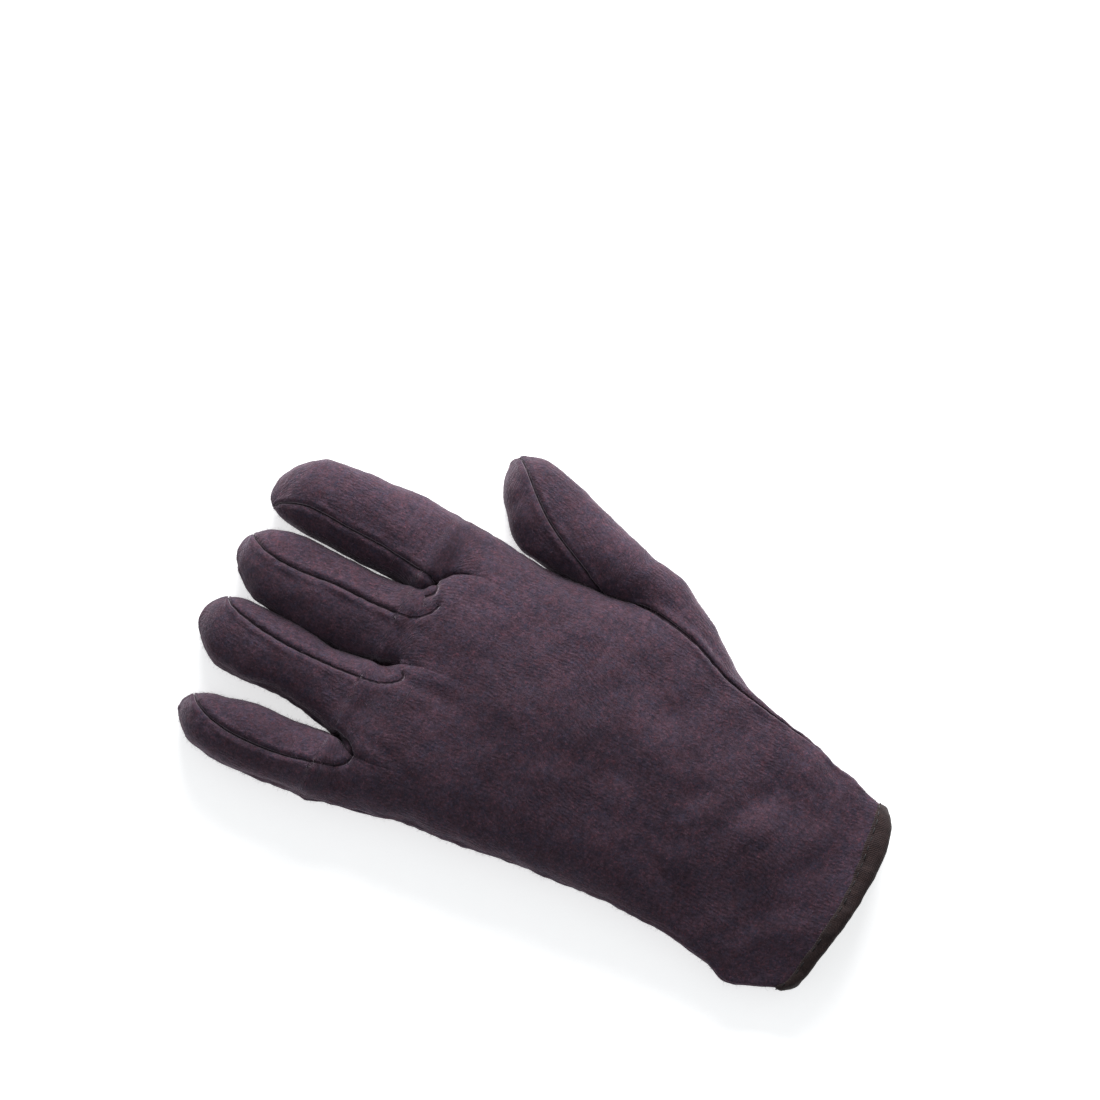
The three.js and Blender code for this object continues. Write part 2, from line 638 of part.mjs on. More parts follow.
const jersey = new THREE.MeshStandardMaterial({ color: 0x4a3d47, roughness: 0.95, metalness: 0 });
const tape = new THREE.MeshStandardMaterial({ color: 0x3c3235, roughness: 0.85, metalness: 0 });

function piece(name, geometry, material) {
  const mesh = new THREE.Mesh(geometry, material);
  mesh.name = name;
  return mesh;
}

// The glove stands on its reference point: the middle of its outline on the ground.
function centred(group) {
  const box = new THREE.Box3().setFromObject(group);
  const middle = box.getCenter(new THREE.Vector3());
  group.position.set(-middle.x, -middle.y, -box.min.z);
  return group;
}

const glove = new THREE.Group();
glove.add(piece("back_panel", buildBackPanel(), jersey));
glove.add(piece("palm_panel", buildPalmPanel(), jersey));
glove.add(piece("ring_finger_front", buildFingerFront(1), jersey));
glove.add(piece("middle_finger_front", buildFingerFront(2), jersey));
glove.add(piece("thumb_panel", buildThumbPanel(), jersey));
glove.add(piece("cuff_binding", buildCuffBinding(), tape));

const object = new THREE.Group();
object.add(centred(glove));
export default object;
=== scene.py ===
"""Looks of a jersey work glove for the left hand, lying palm down on a pale floor.

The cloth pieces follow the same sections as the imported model, drawn much finer, with sewn seams, soft dents
and folds, a brushed knit, a bound cuff and a short nap. Lengths are in millimetres until a mesh is made.
"""
import math

import bpy
import numpy as np
from mathutils import Matrix, Vector


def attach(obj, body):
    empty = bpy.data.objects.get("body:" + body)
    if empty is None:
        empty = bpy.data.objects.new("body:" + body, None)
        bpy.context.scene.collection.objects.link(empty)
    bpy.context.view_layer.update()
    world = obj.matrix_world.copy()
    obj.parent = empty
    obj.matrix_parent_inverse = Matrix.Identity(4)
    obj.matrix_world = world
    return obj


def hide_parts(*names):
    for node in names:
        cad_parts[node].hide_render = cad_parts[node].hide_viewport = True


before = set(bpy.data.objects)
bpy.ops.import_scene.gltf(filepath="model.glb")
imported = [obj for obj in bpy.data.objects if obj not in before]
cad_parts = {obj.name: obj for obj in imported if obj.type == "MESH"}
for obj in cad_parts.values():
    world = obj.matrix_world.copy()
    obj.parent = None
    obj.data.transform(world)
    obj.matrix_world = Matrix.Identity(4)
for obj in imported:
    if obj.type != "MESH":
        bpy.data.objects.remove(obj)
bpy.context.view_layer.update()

MM = 0.001
PLACE = np.array([-8.583, -122.977, 0.012])  # from the hand's own axes to the part's frame

# Overall sizes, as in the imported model
HAND_LENGTH = 183.0
KNUCKLE_WIDTH = 104.0
CUFF_WIDTH = 71.0
HAND_HEIGHT = 30.0
CUFF_HEIGHT = 19.0
CUFF_BOW_REACH = 48.0
FINGER_LENGTH = 63.0
FINGER_HEIGHT = 20.0
THUMB_CROTCH = 125.0
THUMB_LENGTH = 60.7
THUMB_WIDTH = 28.0
THUMB_HEIGHT = 20.0
THUMB_CLEARANCE = 0.25  # how far the thumb stays clear of the hand beside it
SIDE_HEIGHT = 9.5
WALL = 1.6
GROUND_GAP = 0.02  # the cloth's outer face never lies lower
INNER_GAP = 0.4  # its inner face never lies lower
NAP_START = 2.7  # height above the ground from which the nap is free to stand out
FIBRES_PER_SQUARE_METRE = 900000.0
CUFF_START = 1.4
CUFF_LIFT_REACH = 22.5  # how far from the cuff's edge its binding lifts the underside off the ground
THUMB_TURN = {"root": 4.0, "tip": 33.0}
THUMB_ROOT_SKEW = 21.0
CROWN_ROUNDNESS = 0.8
UNDERSIDE_FULLNESS = 1.45
PARTING_ROUNDNESS = 0.34  # low where two fingers part, so that they lie flush against each other
PARTING_REACH = 13.0
TIP_FLAT = 0.14
END_ROUNDING = 0.5
ROOT_HEIGHT = FINGER_HEIGHT + 0.3 * (HAND_HEIGHT - FINGER_HEIGHT)

# Fineness of the cloth meshes
FINGER_COLUMNS = 40
THUMB_COLUMNS = 80
ROWS_BELOW_THUMB = 100
ROWS_ABOVE_THUMB = 80
FINGER_ROWS = 88
EDGE_CROWDING = 0.65  # how much closer the columns lie at a seam than in the middle
ROW_CROWDING = 1.4
SAME_PLACE = 0.02  # points closer than this belong together

# Seams: two cloth edges turned inwards, with a raised lip on each side
SEAM_DEPTH = 0.6
SEAM_REACH = 0.55
LIP_HEIGHT = 0.34
LIP_PLACE = 2.0
LIP_REACH = 1.1
PUCKER_PITCH = 3.6
PUCKER_HEIGHT = 0.13
PUCKER_REACH = 2.4
SEAM_ROLL = 4.0  # how far, in degrees, a finger's side seam rolls under
SEAM_REACH_AT_ROOT = 0.045  # share of a finger's length in which its cut edge reaches the place of its seam
EDGES_START = 0.07  # share of a finger's length from which its side edges follow their own lines
BASE_SEAM_AT = 0.003  # share of a finger's length at which its own front starts
FAR = 8.0  # a distance at which no seam shows
HOOK_REACH = 16.0  # how far from the place where fingers part a hooked seam end may lie
SLACK = 0.35  # how far the cloth lies inside the plain form, which leaves room for its nap
LIP_UNEVENNESS = 0.35
FOLDS_AT_SEAM = 0.35
FOLDS_AT_CUFF = 0.4
SLACK_AT_CUFF = 0.3
HELD_BY_TAPE = (4, 14)  # distances from the cuff over which the cloth comes free of its tape
FOLDS = ((0.34, 36, 16, 1), (0.2, 15, 18, 2), (0.07, 7, 20, 3))  # height, length, number of waves and seed


def table(columns, *rows):
    """A table of sections, as one array for each named column."""
    return {name: np.array([row[i] for row in rows], float) for i, name in enumerate(columns.split())}


def records(names, *rows):
    """Rows of values that have the same names."""
    return [dict(zip(names.split(), row)) for row in rows]


HAND_SECTIONS = table(
    "at spread shift rise parting",
    (0.0, 0.0, -0.034, 0.0, 0),
    (0.05, 0.15, -0.042, -0.04, 0),
    (0.12, 0.35, -0.048, 0.0, 0),
    (0.2, 0.36, -0.022, 0.14, 0),
    (0.3, 0.4, 0.001, 0.38, 0),
    (0.4, 0.47, 0.01, 0.64, 0),
    (0.5, 0.67, 0.022, 0.86, 0),
    (0.6, 0.82, 0.022, 0.97, 0),
    (0.7, 0.87, -0.005, 0.97, 0),
    (0.8, 0.9, -0.024, 0.9, 0.0),
    (0.9, 1.06, -0.04, 0.74, 0.05),
    (0.955, 1.138, -0.052, 0.57, 0.27),
    (1.0, 1.22, -0.064, 0.3, 1),
)
THUMB_ROOT_SECTIONS = table(
    "at out seam palm parting skew",
    (0.0, 0.0, 0.0, 0.4, 0, 0),
    (0.3, 0.0, 0.01, 0.56, 0, 0),
    (0.5, 0.02, 0.05, 0.7, 0, 0.05),
    (0.64, 0.22, 0.04, 0.8, 0.02, 0.3),
    (0.78, 0.45, 0.0, 0.88, 0.15, 0.6),
    (0.9, 0.6, 0.0, 0.95, 0.5, 0.85),
    (1.0, 0.69, 0.0, 1, 1, 1),
)
# From the little finger on: share of the knuckles, share of the finger length, the line of the seam on the
# back (distance from the cuff and sideways place), and the side edges (distance, little side and thumb side)
FINGERS = records(
    "root length seam edges",
    (
        0.217, 0.855,
        table(
            "at x", (183.5, -50.7), (192, -52.9), (201, -54.6), (208, -55.3), (214, -55.5), (221, -54.8),
            (229, -52.2), (237, -47.5),
        ),
        table(
            "at low high", (183, -62.3, -38.1), (192, -63.4, -38.4), (200, -64.6, -39.5),
            (208, -65.1, -40.3), (216, -65.1, -42.1), (224, -64.4, -44.7), (230, -63.0, -45.4),
            (237, -61.5, -47.0),
        ),
    ),
    (
        0.257, 0.995,
        table(
            "at x", (183, -17.8), (191, -18.4), (202, -19.3), (213, -19.9), (220.5, -19.6), (227, -18.9),
            (237, -16.4), (245, -11),
        ),
        table(
            "at low high", (183, -38.1, -9.5), (192, -37.3, -10.8), (200, -36.2, -11.5),
            (208, -35.6, -11.5), (216, -36.2, -11.2), (224, -37.0, -11.0), (232, -36.7, -11.5),
            (240, -34.4, -11.9), (246, -33.2, -12.3),
        ),
    ),
    (
        0.255, 1.012,
        table(
            "at x", (183, 7.6), (189, 7.1), (195, 6.8), (207, 6.4), (214, 5.4), (221.5, 4.5), (228, 4.3),
            (235, 4.9), (242, 7.6), (246, 10),
        ),
        table(
            "at low high", (183, -9.5, 18.9), (192, -11.3, 19.1), (200, -12.1, 18.6), (208, -12.1, 18.4),
            (216, -11.7, 18.1), (224, -11.3, 17.8), (232, -10.5, 16.8), (240, -7.9, 15.3),
            (247, -7.0, 14.4),
        ),
    ),
    (
        0.271, 1.012,
        table(
            "at x", (186, 24.2), (195.6, 25.1), (202, 25.6), (209, 25.5), (216, 25.4), (223, 25.7),
            (230, 25.5), (235, 24.5), (240, 22.8), (246, 20),
        ),
        table(
            "at low high", (183, 18.9, 49.0), (192, 19.0, 49.2), (200, 18.3, 49.2), (208, 17.7, 48.5),
            (216, 17.6, 47.5), (224, 17.8, 46.5), (232, 18.1, 45.2), (240, 16.9, 42.9), (247, 15.8, 40.3),
        ),
    ),
)
SEAM_TOWARDS_LITTLE = 3  # the index finger's seam lies on its little side, the others on their thumb sides
# The ends of those seams, which run on over the back of the hand and hook round to where two fingers part
HOOKS = (
    (
        (-38.0, 184), (-38.4, 178.6), (-40.4, 174.6), (-43.4, 173.4), (-46.6, 175.1), (-48.8, 178.5),
        (-50.7, 183.5), (-52.9, 192),
    ),
    ((-18.4, 191), (-17.7, 182.5), (-15.8, 176.4), (-12.9, 172.6), (-10.6, 171.6), (-9.3, 173.9)),
    ((17.0, 173.3), (13.6, 173.9), (10.3, 176.6), (8.4, 179.6), (7.6, 183), (7.1, 189), (6.8, 195)),
    ((25.1, 195.6), (24.2, 186.0), (24.4, 181.6), (23.4, 178.2), (21.0, 176.9), (18.5, 177.7), (16.7, 179.8)),
)
FINGER_SECTIONS = table(
    "at own height side roll",
    (0.0, 0.0, 1.0, 1.0, 0.0),
    (0.05, 0.2, 1.0, 0.99, 0.5),
    (0.12, 0.5, 1.0, 0.98, 0.86),
    (0.3, 1.0, 1.0, 0.94, 1.0),
    (0.6, 1.0, 0.96, 0.86, 1.0),
    (0.85, 1.0, 0.86, 0.72, 0.8),
    (1.0, 1.0, 0.76, 0.6, 0.0),
)
THUMB_SECTIONS = table(
    "at width height side roll inner",
    (0.0, 0.76, 1.0, 1.0, 0, 0),
    (0.1, 0.84, 1.01, 0.99, 28, 0.3),
    (0.2, 0.9, 1.02, 0.98, 46, 0.8),
    (0.3, 0.93, 1.02, 0.97, 56, 2.2),
    (0.45, 0.95, 1.0, 0.94, 65, 4.8),
    (0.52, 0.93, 0.98, 0.92, 68, 5.6),
    (0.62, 0.88, 0.95, 0.88, 72, 4.8),
    (0.75, 0.79, 0.88, 0.8, 79, 2.6),
    (0.9, 0.66, 0.78, 0.68, 90, 1.2),
    (1.0, 0.55, 0.7, 0.6, 98, 0.6),
)
# Soft dents in the back of the hand, in shares of its length and half width
DENTS = records(
    "along across long wide depth turn",
    (0.02, -0.72, 0.14, 0.34, 0.2, 0),
    (0.2, -0.35, 0.16, 0.24, 0.1, -38),
    (0.24, 0.42, 0.2, 0.2, 0.07, 24),
    (0.47, 0.5, 0.16, 0.22, 0.07, 18),
    (0.86, -0.15, 0.12, 0.2, 0.05, 0),
)
# How far each place of the cuff's edge lies behind the foremost one, from the little side to the thumb side
CUFF_EDGE = table(
    "at behind", (-1, 9.2), (-0.94, 7.2), (-0.85, 5.6), (-0.7, 4.5), (-0.4, 2.7), (0, 1.1), (0.3, 0.9),
    (0.6, 1.3), (0.8, 2.6), (0.92, 4.7), (1, 6.9),
)
CREASE_BEND = 0.5
RIDGE_HEIGHT = 0.45  # of the low ridge on each side of a crease, in shares of its depth
RIDGE_PLACE = 1.9
RIDGE_REACH = 1.3
# Creases in the back of the hand, in millimetres: middle, half length, half width, depth and turn from +Y
CREASES = records(
    "x y long wide depth turn",
    (-11.0, 163.0, 13.0, 2.4, 0.6, -4),
    (-36.0, 166.0, 10.0, 2.2, 0.5, 6),
    (5.0, 49.6, 15.0, 4.6, 1.3, -73),
    (1.0, 67.0, 9.0, 3.6, 0.8, -62),
    (-29.0, 56.0, 16.0, 4.0, 0.8, 30),
    (-22.0, 27.0, 15.0, 4.5, 0.9, -52),
)


def mix(a, b, share):
    return a + (b - a) * share


def eased(share):
    return share * share * (3 - 2 * share)


def ramp(value, start, end):
    """0 up to start, 1 from end on, eased in between."""
    return eased(np.clip((value - start) / (end - start), 0, 1))


def bell(distance, reach):
    return np.exp(-((distance / reach) ** 2))


def section(rows, at):
    """A table's columns at any place, on smooth curves that never overshoot its rows."""
    places = rows["at"]
    start = np.clip(np.searchsorted(places, at, side="right") - 1, 0, len(places) - 2)
    span = places[start + 1] - places[start]
    t = np.clip((at - places[start]) / span, 0, 1)
    found = {}
    for name, values in rows.items():
        steps = np.diff(values) / np.diff(places)
        level = steps[:-1] * steps[1:] <= 0
        slope = np.zeros(len(values))
        total = np.where(level, 1, steps[:-1] + steps[1:])
        slope[1:-1] = np.where(level, 0, 2 * steps[:-1] * steps[1:] / total)
        leave = slope[start] * span * t * (1 - t) ** 2
        arrive = slope[start + 1] * span * t * t * (1 - t)
        found[name] = mix(values[start], values[start + 1], eased(t)) + leave - arrive
    return found


def hand_at(y):
    """Edges and heights of the hand at distances from the cuff."""
    found = section(HAND_SECTIONS, y / HAND_LENGTH)
    height = mix(CUFF_HEIGHT, HAND_HEIGHT, found["rise"])
    return {
        "y": y,
        "half": mix(CUFF_WIDTH, KNUCKLE_WIDTH, found["spread"]) / 2,
        "middle": found["shift"] * KNUCKLE_WIDTH,
        "height": height,
        "side": np.minimum(SIDE_HEIGHT, height / 2),
        "parting": found["parting"],
        "ground": CUFF_START * (1 - eased(np.clip(y / CUFF_LIFT_REACH, 0, 1))),
    }


def turned_axes(x, y, degrees):
    """The same place measured along and across a line that is turned from +Y."""
    turn = math.radians(degrees)
    return x * math.sin(turn) + y * math.cos(turn), x * math.cos(turn) - y * math.sin(turn)


def dent_at(x, y):
    """How far the soft dents push in the back of the hand."""
    depth = 0
    for dent in DENTS:
        dx = x - dent["across"] * KNUCKLE_WIDTH / 2
        along, across = turned_axes(dx, y - dent["along"] * HAND_LENGTH, dent["turn"])
        along = along / (dent["long"] * HAND_LENGTH)
        across = across / (dent["wide"] * KNUCKLE_WIDTH / 2)
        depth = depth + dent["depth"] * HAND_HEIGHT * np.exp(-along * along - across * across)
    return depth


def height_at(side, top, ground, closing, angle, roundness=CROWN_ROUNDNESS):
    """Height of a rounded form that the ground flattens, at an angle round it."""
    top = np.maximum(side, mix(side, top, closing))
    bottom = np.minimum(side, side - (side - ground) * UNDERSIDE_FULLNESS * closing)
    turn = np.sin(np.radians(angle))
    full = np.abs(turn) ** np.where(turn >= 0, roundness, CROWN_ROUNDNESS)
    under = np.maximum(np.minimum(side, ground), mix(side, bottom, full))
    return np.where(turn >= 0, mix(side, top, full), under)


def grid(x, y, z):
    return np.stack(np.broadcast_arrays(x, y, z), axis=-1).astype(float)


ROOT_EDGES = np.cumsum([0] + [finger["root"] for finger in FINGERS])
ROOT_EDGES = ROOT_EDGES / ROOT_EDGES[-1]


def crowded(count):
    """Places from 0 to 1 that lie closer together at both ends."""
    even = np.linspace(0, 1, count + 1)
    return even - EDGE_CROWDING * np.sin(2 * np.pi * even) / (2 * np.pi)


def hand_columns():
    """Places across the hand, from 0 on the little side to 4 on the thumb side, crowded between fingers."""
    places = [finger + crowded(FINGER_COLUMNS)[:-1] for finger in range(len(FINGERS))]
    return np.append(np.concatenate(places), len(FINGERS))


def parting_roundness(finger, angle, y):
    """How round a finger's section is: nearly square on its inner sides next to the place where it parts."""
    outer = np.where(np.cos(np.radians(angle)) < 0, finger == 0, finger == len(FINGERS) - 1)
    parted = ramp(y, HAND_LENGTH - 1, HAND_LENGTH + PARTING_REACH)
    return mix(PARTING_ROUNDNESS, CROWN_ROUNDNESS, np.maximum(outer, parted))


def rounded_hand(hand, middle, half, angle):
    x = middle + half * np.cos(np.radians(angle))
    z = height_at(hand["side"], hand["height"] - dent_at(x, hand["y"]), hand["ground"], 1, angle)
    return grid(x, hand["y"], z)


def fingered_hand(hand, place, side):
    """The hand as four fingers side by side."""
    finger = np.minimum(len(FINGERS) - 1, np.floor(place).astype(int))
    angle = 180 * (1 - (place - finger)) * side
    share = mix(ROOT_EDGES[finger], ROOT_EDGES[finger + 1], (1 + np.cos(np.radians(angle))) / 2)
    x = hand["middle"] + hand["half"] * (2 * share - 1)
    roundness = parting_roundness(finger, angle, hand["y"]) if side > 0 else CROWN_ROUNDNESS
    return grid(x, hand["y"], height_at(hand["side"], ROOT_HEIGHT, hand["ground"], 1, angle, roundness))


def hand_surface(hand, place, side):
    angle = 180 * (1 - place / len(FINGERS)) * side
    rounded = rounded_hand(hand, hand["middle"], hand["half"], angle)
    return mix(rounded, fingered_hand(hand, place, side), hand["parting"][..., None])


def thumb_root(y, places, thumb_places):
    """The hand up to the thumb's crotch: grids of the back, the thumb's root and the palm."""
    hand = hand_at(y)
    root = section(THUMB_ROOT_SECTIONS, y / THUMB_CROTCH)
    edge = hand["middle"] + hand["half"]
    out = edge + root["out"] * THUMB_WIDTH
    little = hand["middle"] - hand["half"]
    middle, half = (little + out) / 2, (out - little) / 2
    seam_x = edge - root["seam"] * THUMB_WIDTH
    palm_x = mix(hand["middle"], edge, root["palm"])
    back_seam = np.degrees(np.arccos(np.clip((seam_x - middle) / half, -1, 1)))
    palm_seam = -np.degrees(np.arccos(np.clip((palm_x - middle) / half, -1, 1)))
    lag = np.tan(np.radians(root["skew"] * THUMB_ROOT_SKEW))

    def placed(start, end, share, lobe):
        whole = rounded_hand(hand, middle, half, mix(start, end, share))
        points = mix(whole, lobe, root["parting"][..., None])
        points[..., 1] = y - lag * np.maximum(0, points[..., 0] - seam_x)
        return points

    ring_angle = 180 - 360 * thumb_places
    ring_x = (edge + out) / 2 + (out - edge) / 2 * np.cos(np.radians(ring_angle))
    ring = grid(ring_x, y, height_at(hand["side"], THUMB_HEIGHT, hand["ground"], 1, ring_angle))
    share = places / len(FINGERS)
    return (
        placed(180, back_seam, share, hand_surface(hand, places, 1)),
        placed(back_seam, palm_seam, thumb_places, ring),
        placed(palm_seam, -180, share, hand_surface(hand, len(FINGERS) - places, -1)),
    )


def rounded_end(at, start, end):
    share = np.clip((at - start) / (1 - start), 0, 1)
    return np.sqrt(np.maximum(0, 1 - (1 - end * end) * share * share))


def finger_surface(index, at, part, places):
    """One finger from its root to its tip: its back, or its front."""
    finger = FINGERS[index]
    hand = hand_at(np.array(HAND_LENGTH))
    found = section(FINGER_SECTIONS, at)
    length = finger["length"] * FINGER_LENGTH
    y = HAND_LENGTH + at * length
    root = hand["middle"] + hand["half"] * (2 * ROOT_EDGES[index : index + 2] - 1)
    edges = section(finger["edges"], y)
    leaving = ramp(at, 0, EDGES_START)
    low, high = mix(root[0], edges["low"], leaving), mix(root[1], edges["high"], leaving)
    end_start = 1 - END_ROUNDING * (finger["edges"]["high"][2] - finger["edges"]["low"][2]) / length
    half = (high - low) / 2 * rounded_end(at, end_start, TIP_FLAT)
    middle = (high + low) / 2
    seam_x = section(finger["seam"], y)["x"]
    seam = np.degrees(np.arccos(np.clip((seam_x - middle) / half, -1, 1)))
    reach = ramp(at, 0, SEAM_REACH_AT_ROOT)
    if index == SEAM_TOWARDS_LITTLE:
        thumb_side, little_side = -SEAM_ROLL * found["roll"], mix(180, seam, reach)
    else:
        thumb_side, little_side = seam * reach, 180 + SEAM_ROLL * found["roll"]
    if part == "back":
        angle = mix(little_side, thumb_side, places)
    else:
        angle = mix(thumb_side, little_side - 360, places)
    top = mix(ROOT_HEIGHT, FINGER_HEIGHT, found["own"]) * found["height"]
    roundness = parting_roundness(index, angle, y)
    z = height_at(SIDE_HEIGHT * found["side"], top, 0, rounded_end(at, end_start, 0), angle, roundness)
    return grid(middle + half * np.cos(np.radians(angle)), y, z)


def thumb_surface(at, places):
    """The thumb from its crotch to its tip."""
    hand = hand_at(np.array(THUMB_CROTCH))
    found = section(THUMB_SECTIONS, at)
    reach = THUMB_ROOT_SECTIONS["out"][-1] * THUMB_WIDTH / 2
    root, tip = math.radians(THUMB_TURN["root"]), math.radians(THUMB_TURN["tip"])
    here = mix(root, tip, at)
    facing = np.radians(mix(THUMB_ROOT_SKEW, THUMB_TURN["tip"], at))
    centre_x = hand["middle"] + hand["half"] + reach
    centre_x = centre_x + THUMB_LENGTH * (math.cos(root) - np.cos(here)) / (tip - root)
    drop = reach * math.tan(math.radians(THUMB_ROOT_SKEW))
    centre_y = THUMB_CROTCH - drop + THUMB_LENGTH * (np.sin(here) - math.sin(root)) / (tip - root)
    end_start = 1 - END_ROUNDING * THUMB_WIDTH / THUMB_LENGTH
    half = found["width"] * THUMB_WIDTH / 2 * rounded_end(at, end_start, TIP_FLAT)
    angle = 180 - found["roll"] - 360 * places
    closing = rounded_end(at, end_start, 0)
    z = height_at(SIDE_HEIGHT * found["side"], found["height"] * THUMB_HEIGHT, 0, closing, angle)
    turn = np.cos(np.radians(angle))
    across = half * turn - found["inner"] * np.minimum(0, turn) ** 2
    x = centre_x + across * np.cos(facing)
    y = centre_y - across * np.sin(facing)
    beside = hand_at(y)
    clear = beside["middle"] + beside["half"] + THUMB_CLEARANCE * np.minimum(1, at / 0.1)
    return grid(np.where(y < HAND_LENGTH, np.maximum(x, clear), x), y, z)


class Panel:
    """One cut piece of cloth: grids of outer points, their places on the cloth and their seam distances."""

    def __init__(self, name):
        self.name = name
        self.points = np.zeros((0, 3))
        self.cloth = np.zeros((0, 2))
        self.seam = np.zeros(0)
        self.cells = []

    def add(self, points, cloth, seam, first=None):
        """Adds a grid. Where first is given, its first row is points that the panel already has."""
        rows, columns = points.shape[:2]
        fresh = points if first is None else points[1:]
        index = len(self.points) + np.arange(fresh.shape[0] * columns).reshape(-1, columns)
        keep = slice(0 if first is None else 1, None)
        self.points = np.vstack([self.points, fresh.reshape(-1, 3)])
        self.cloth = np.vstack([self.cloth, cloth[keep].reshape(-1, 2)])
        self.seam = np.append(self.seam, seam[keep].ravel())
        if first is not None:
            index = np.vstack([first, index])
        corners = (index[:-1, :-1], index[:-1, 1:], index[1:, 1:], index[1:, :-1])
        self.cells.append(np.stack([corner.ravel() for corner in corners], axis=-1))
        return index

    def faces(self):
        return np.concatenate(self.cells)


def travelled(points, axis):
    """Distance along a grid's rows (axis 1) or columns (axis 0) from its first point."""
    lengths = np.linalg.norm(np.diff(points, axis=axis), axis=-1)
    pad = [(0, 0), (0, 0)]
    pad[axis] = (1, 0)
    return np.pad(np.cumsum(lengths, axis=axis), pad)


def cloth_coordinates(points, middle, start):
    """Distances across and along the cloth, from its middle column and its first row."""
    across = travelled(points, 1)
    along = travelled(points[:, middle : middle + 1], 0)
    sideways = start[0] + across - across[:, middle : middle + 1]
    return np.stack([sideways, start[1] + along + 0 * across], axis=-1)


def edge_distance(points):
    """Distance to the nearest side seam of a grid."""
    across = travelled(points, 1)
    return np.minimum(across, across[:, -1:] - across)


def finger_seam_distance(points, finger, part):
    """Distance to the seams of a finger; at its very root the seam that shows above has left its cut edge."""
    across = travelled(points, 1)
    along = travelled(points, 0)
    hidden = FAR * (1 - ramp(FINGER_AT, 0.7 * SEAM_REACH_AT_ROOT, 1.4 * SEAM_REACH_AT_ROOT))
    sides = [across, across[:, -1:] - across]
    sides[(finger == SEAM_TOWARDS_LITTLE) != (part == "back")] += hidden
    return np.minimum(np.minimum(*sides), along[-1:] - along)


def smooth_line(corners):
    """A flowing line through an open row of corners."""
    line = np.array(corners, float)
    for _ in range(3):
        cut = [mix(line[:-1], line[1:], share) for share in (0.25, 0.75)]
        line = np.vstack([line[:1], np.stack(cut, axis=1).reshape(-1, 2)[1:-1], line[-1:]])
    return line


def hook_distance(points):
    """Distance to the nearest hooked seam end, with a sign for its side: it crosses zero on the seam."""
    place = points[:, :2]
    nearest = np.full(len(points), FAR)
    for corners in HOOKS:
        line = smooth_line(corners)
        start, step = line[:-1], np.diff(line, axis=0)
        offset = place[:, None] - start
        share = np.clip((offset * step).sum(-1) / (step * step).sum(-1), 0, 1)
        apart = offset - share[..., None] * step
        distance = np.linalg.norm(apart, axis=-1)
        closest = distance.argmin(axis=1)
        row = np.arange(len(points))
        side = np.sign(step[closest, 0] * apart[row, closest, 1] - step[closest, 1] * apart[row, closest, 0])
        past = (closest == 0) & (share[row, closest] == 0)
        past |= (closest == len(start) - 1) & (share[row, closest] == 1)
        found = side * np.where(past, FAR, np.minimum(distance[row, closest], FAR))
        nearest = np.where(np.abs(found) < np.abs(nearest), found, nearest)
    above = points[:, 2] > SIDE_HEIGHT
    return np.where(above & (np.abs(points[:, 1] - HAND_LENGTH) < HOOK_REACH), nearest, FAR)


HAND_PLACES = hand_columns()[None, :]
FINGER_PLACES = crowded(FINGER_COLUMNS)[None, :]
THUMB_PLACES = crowded(THUMB_COLUMNS)[None, :]
FINGER_AT = crowded(FINGER_ROWS)[:, None]
Y_BELOW = np.linspace(CUFF_START, THUMB_CROTCH, ROWS_BELOW_THUMB + 1)[:, None]
UPWARDS = 1 - (1 - np.linspace(0, 1, ROWS_ABOVE_THUMB + 1)) ** ROW_CROWDING
Y_ABOVE = mix(THUMB_CROTCH, HAND_LENGTH, UPWARDS)[:, None]


def hand_panels():
    """The back with the backs of all fingers, and the palm with the fronts of the outer two."""
    below_back, thumb_part, below_palm = thumb_root(Y_BELOW, HAND_PLACES, THUMB_PLACES)
    above = hand_at(Y_ABOVE)
    above_back = hand_surface(above, HAND_PLACES, 1)
    above_palm = hand_surface(above, len(FINGERS) - HAND_PLACES, -1)
    made = {}
    for name, low, high, part, fingers in (
        ("back_panel", below_back, above_back, "back", (0, 1, 2, 3)),
        ("palm_panel", below_palm, above_palm, "front", (0, 3)),
    ):
        panel = Panel(name)
        points = np.vstack([low[:-1], high])
        middle = points.shape[1] // 2
        cloth = cloth_coordinates(points, middle, (0, 0))
        seam = edge_distance(points)
        if part == "front":
            seam = np.minimum(seam, base_seam_distance(points))
        index = panel.add(points, cloth, seam)
        for finger in fingers:
            order = finger if part == "back" else len(FINGERS) - 1 - finger
            columns = slice(order * FINGER_COLUMNS, (order + 1) * FINGER_COLUMNS + 1)
            add_finger(panel, finger, part, index[-1, columns], cloth[-1, columns][FINGER_COLUMNS // 2])
        made[name] = panel
    return made, thumb_part


def base_seam_distance(points):
    """Distance to the base seam of the two middle fingers' fronts, under the palm."""
    hand = hand_at(np.array(HAND_LENGTH))
    left = hand["middle"] + hand["half"] * (2 * ROOT_EDGES[1] - 1)
    right = hand["middle"] + hand["half"] * (2 * ROOT_EDGES[3] - 1)
    aside = np.maximum(0, np.maximum(left - points[..., 0], points[..., 0] - right))
    return np.hypot(HAND_LENGTH - points[..., 1], aside)


def add_finger(panel, finger, part, first, start):
    points = finger_surface(finger, FINGER_AT, part, FINGER_PLACES)
    cloth = cloth_coordinates(points, FINGER_COLUMNS // 2, start)
    panel.add(points, cloth, finger_seam_distance(points, finger, part), first)


def finger_front(name, finger):
    panel = Panel(name)
    points = finger_surface(finger, FINGER_AT, "front", FINGER_PLACES)
    points[0] = finger_surface(finger, np.array([[BASE_SEAM_AT]]), "front", FINGER_PLACES)[0]
    underside = FAR * ramp(points[..., 2], 2, SIDE_HEIGHT)
    seam = np.minimum(finger_seam_distance(points, finger, "front"), travelled(points, 0) + underside)
    panel.add(points, cloth_coordinates(points, FINGER_COLUMNS // 2, (0, 0)), seam)
    return panel


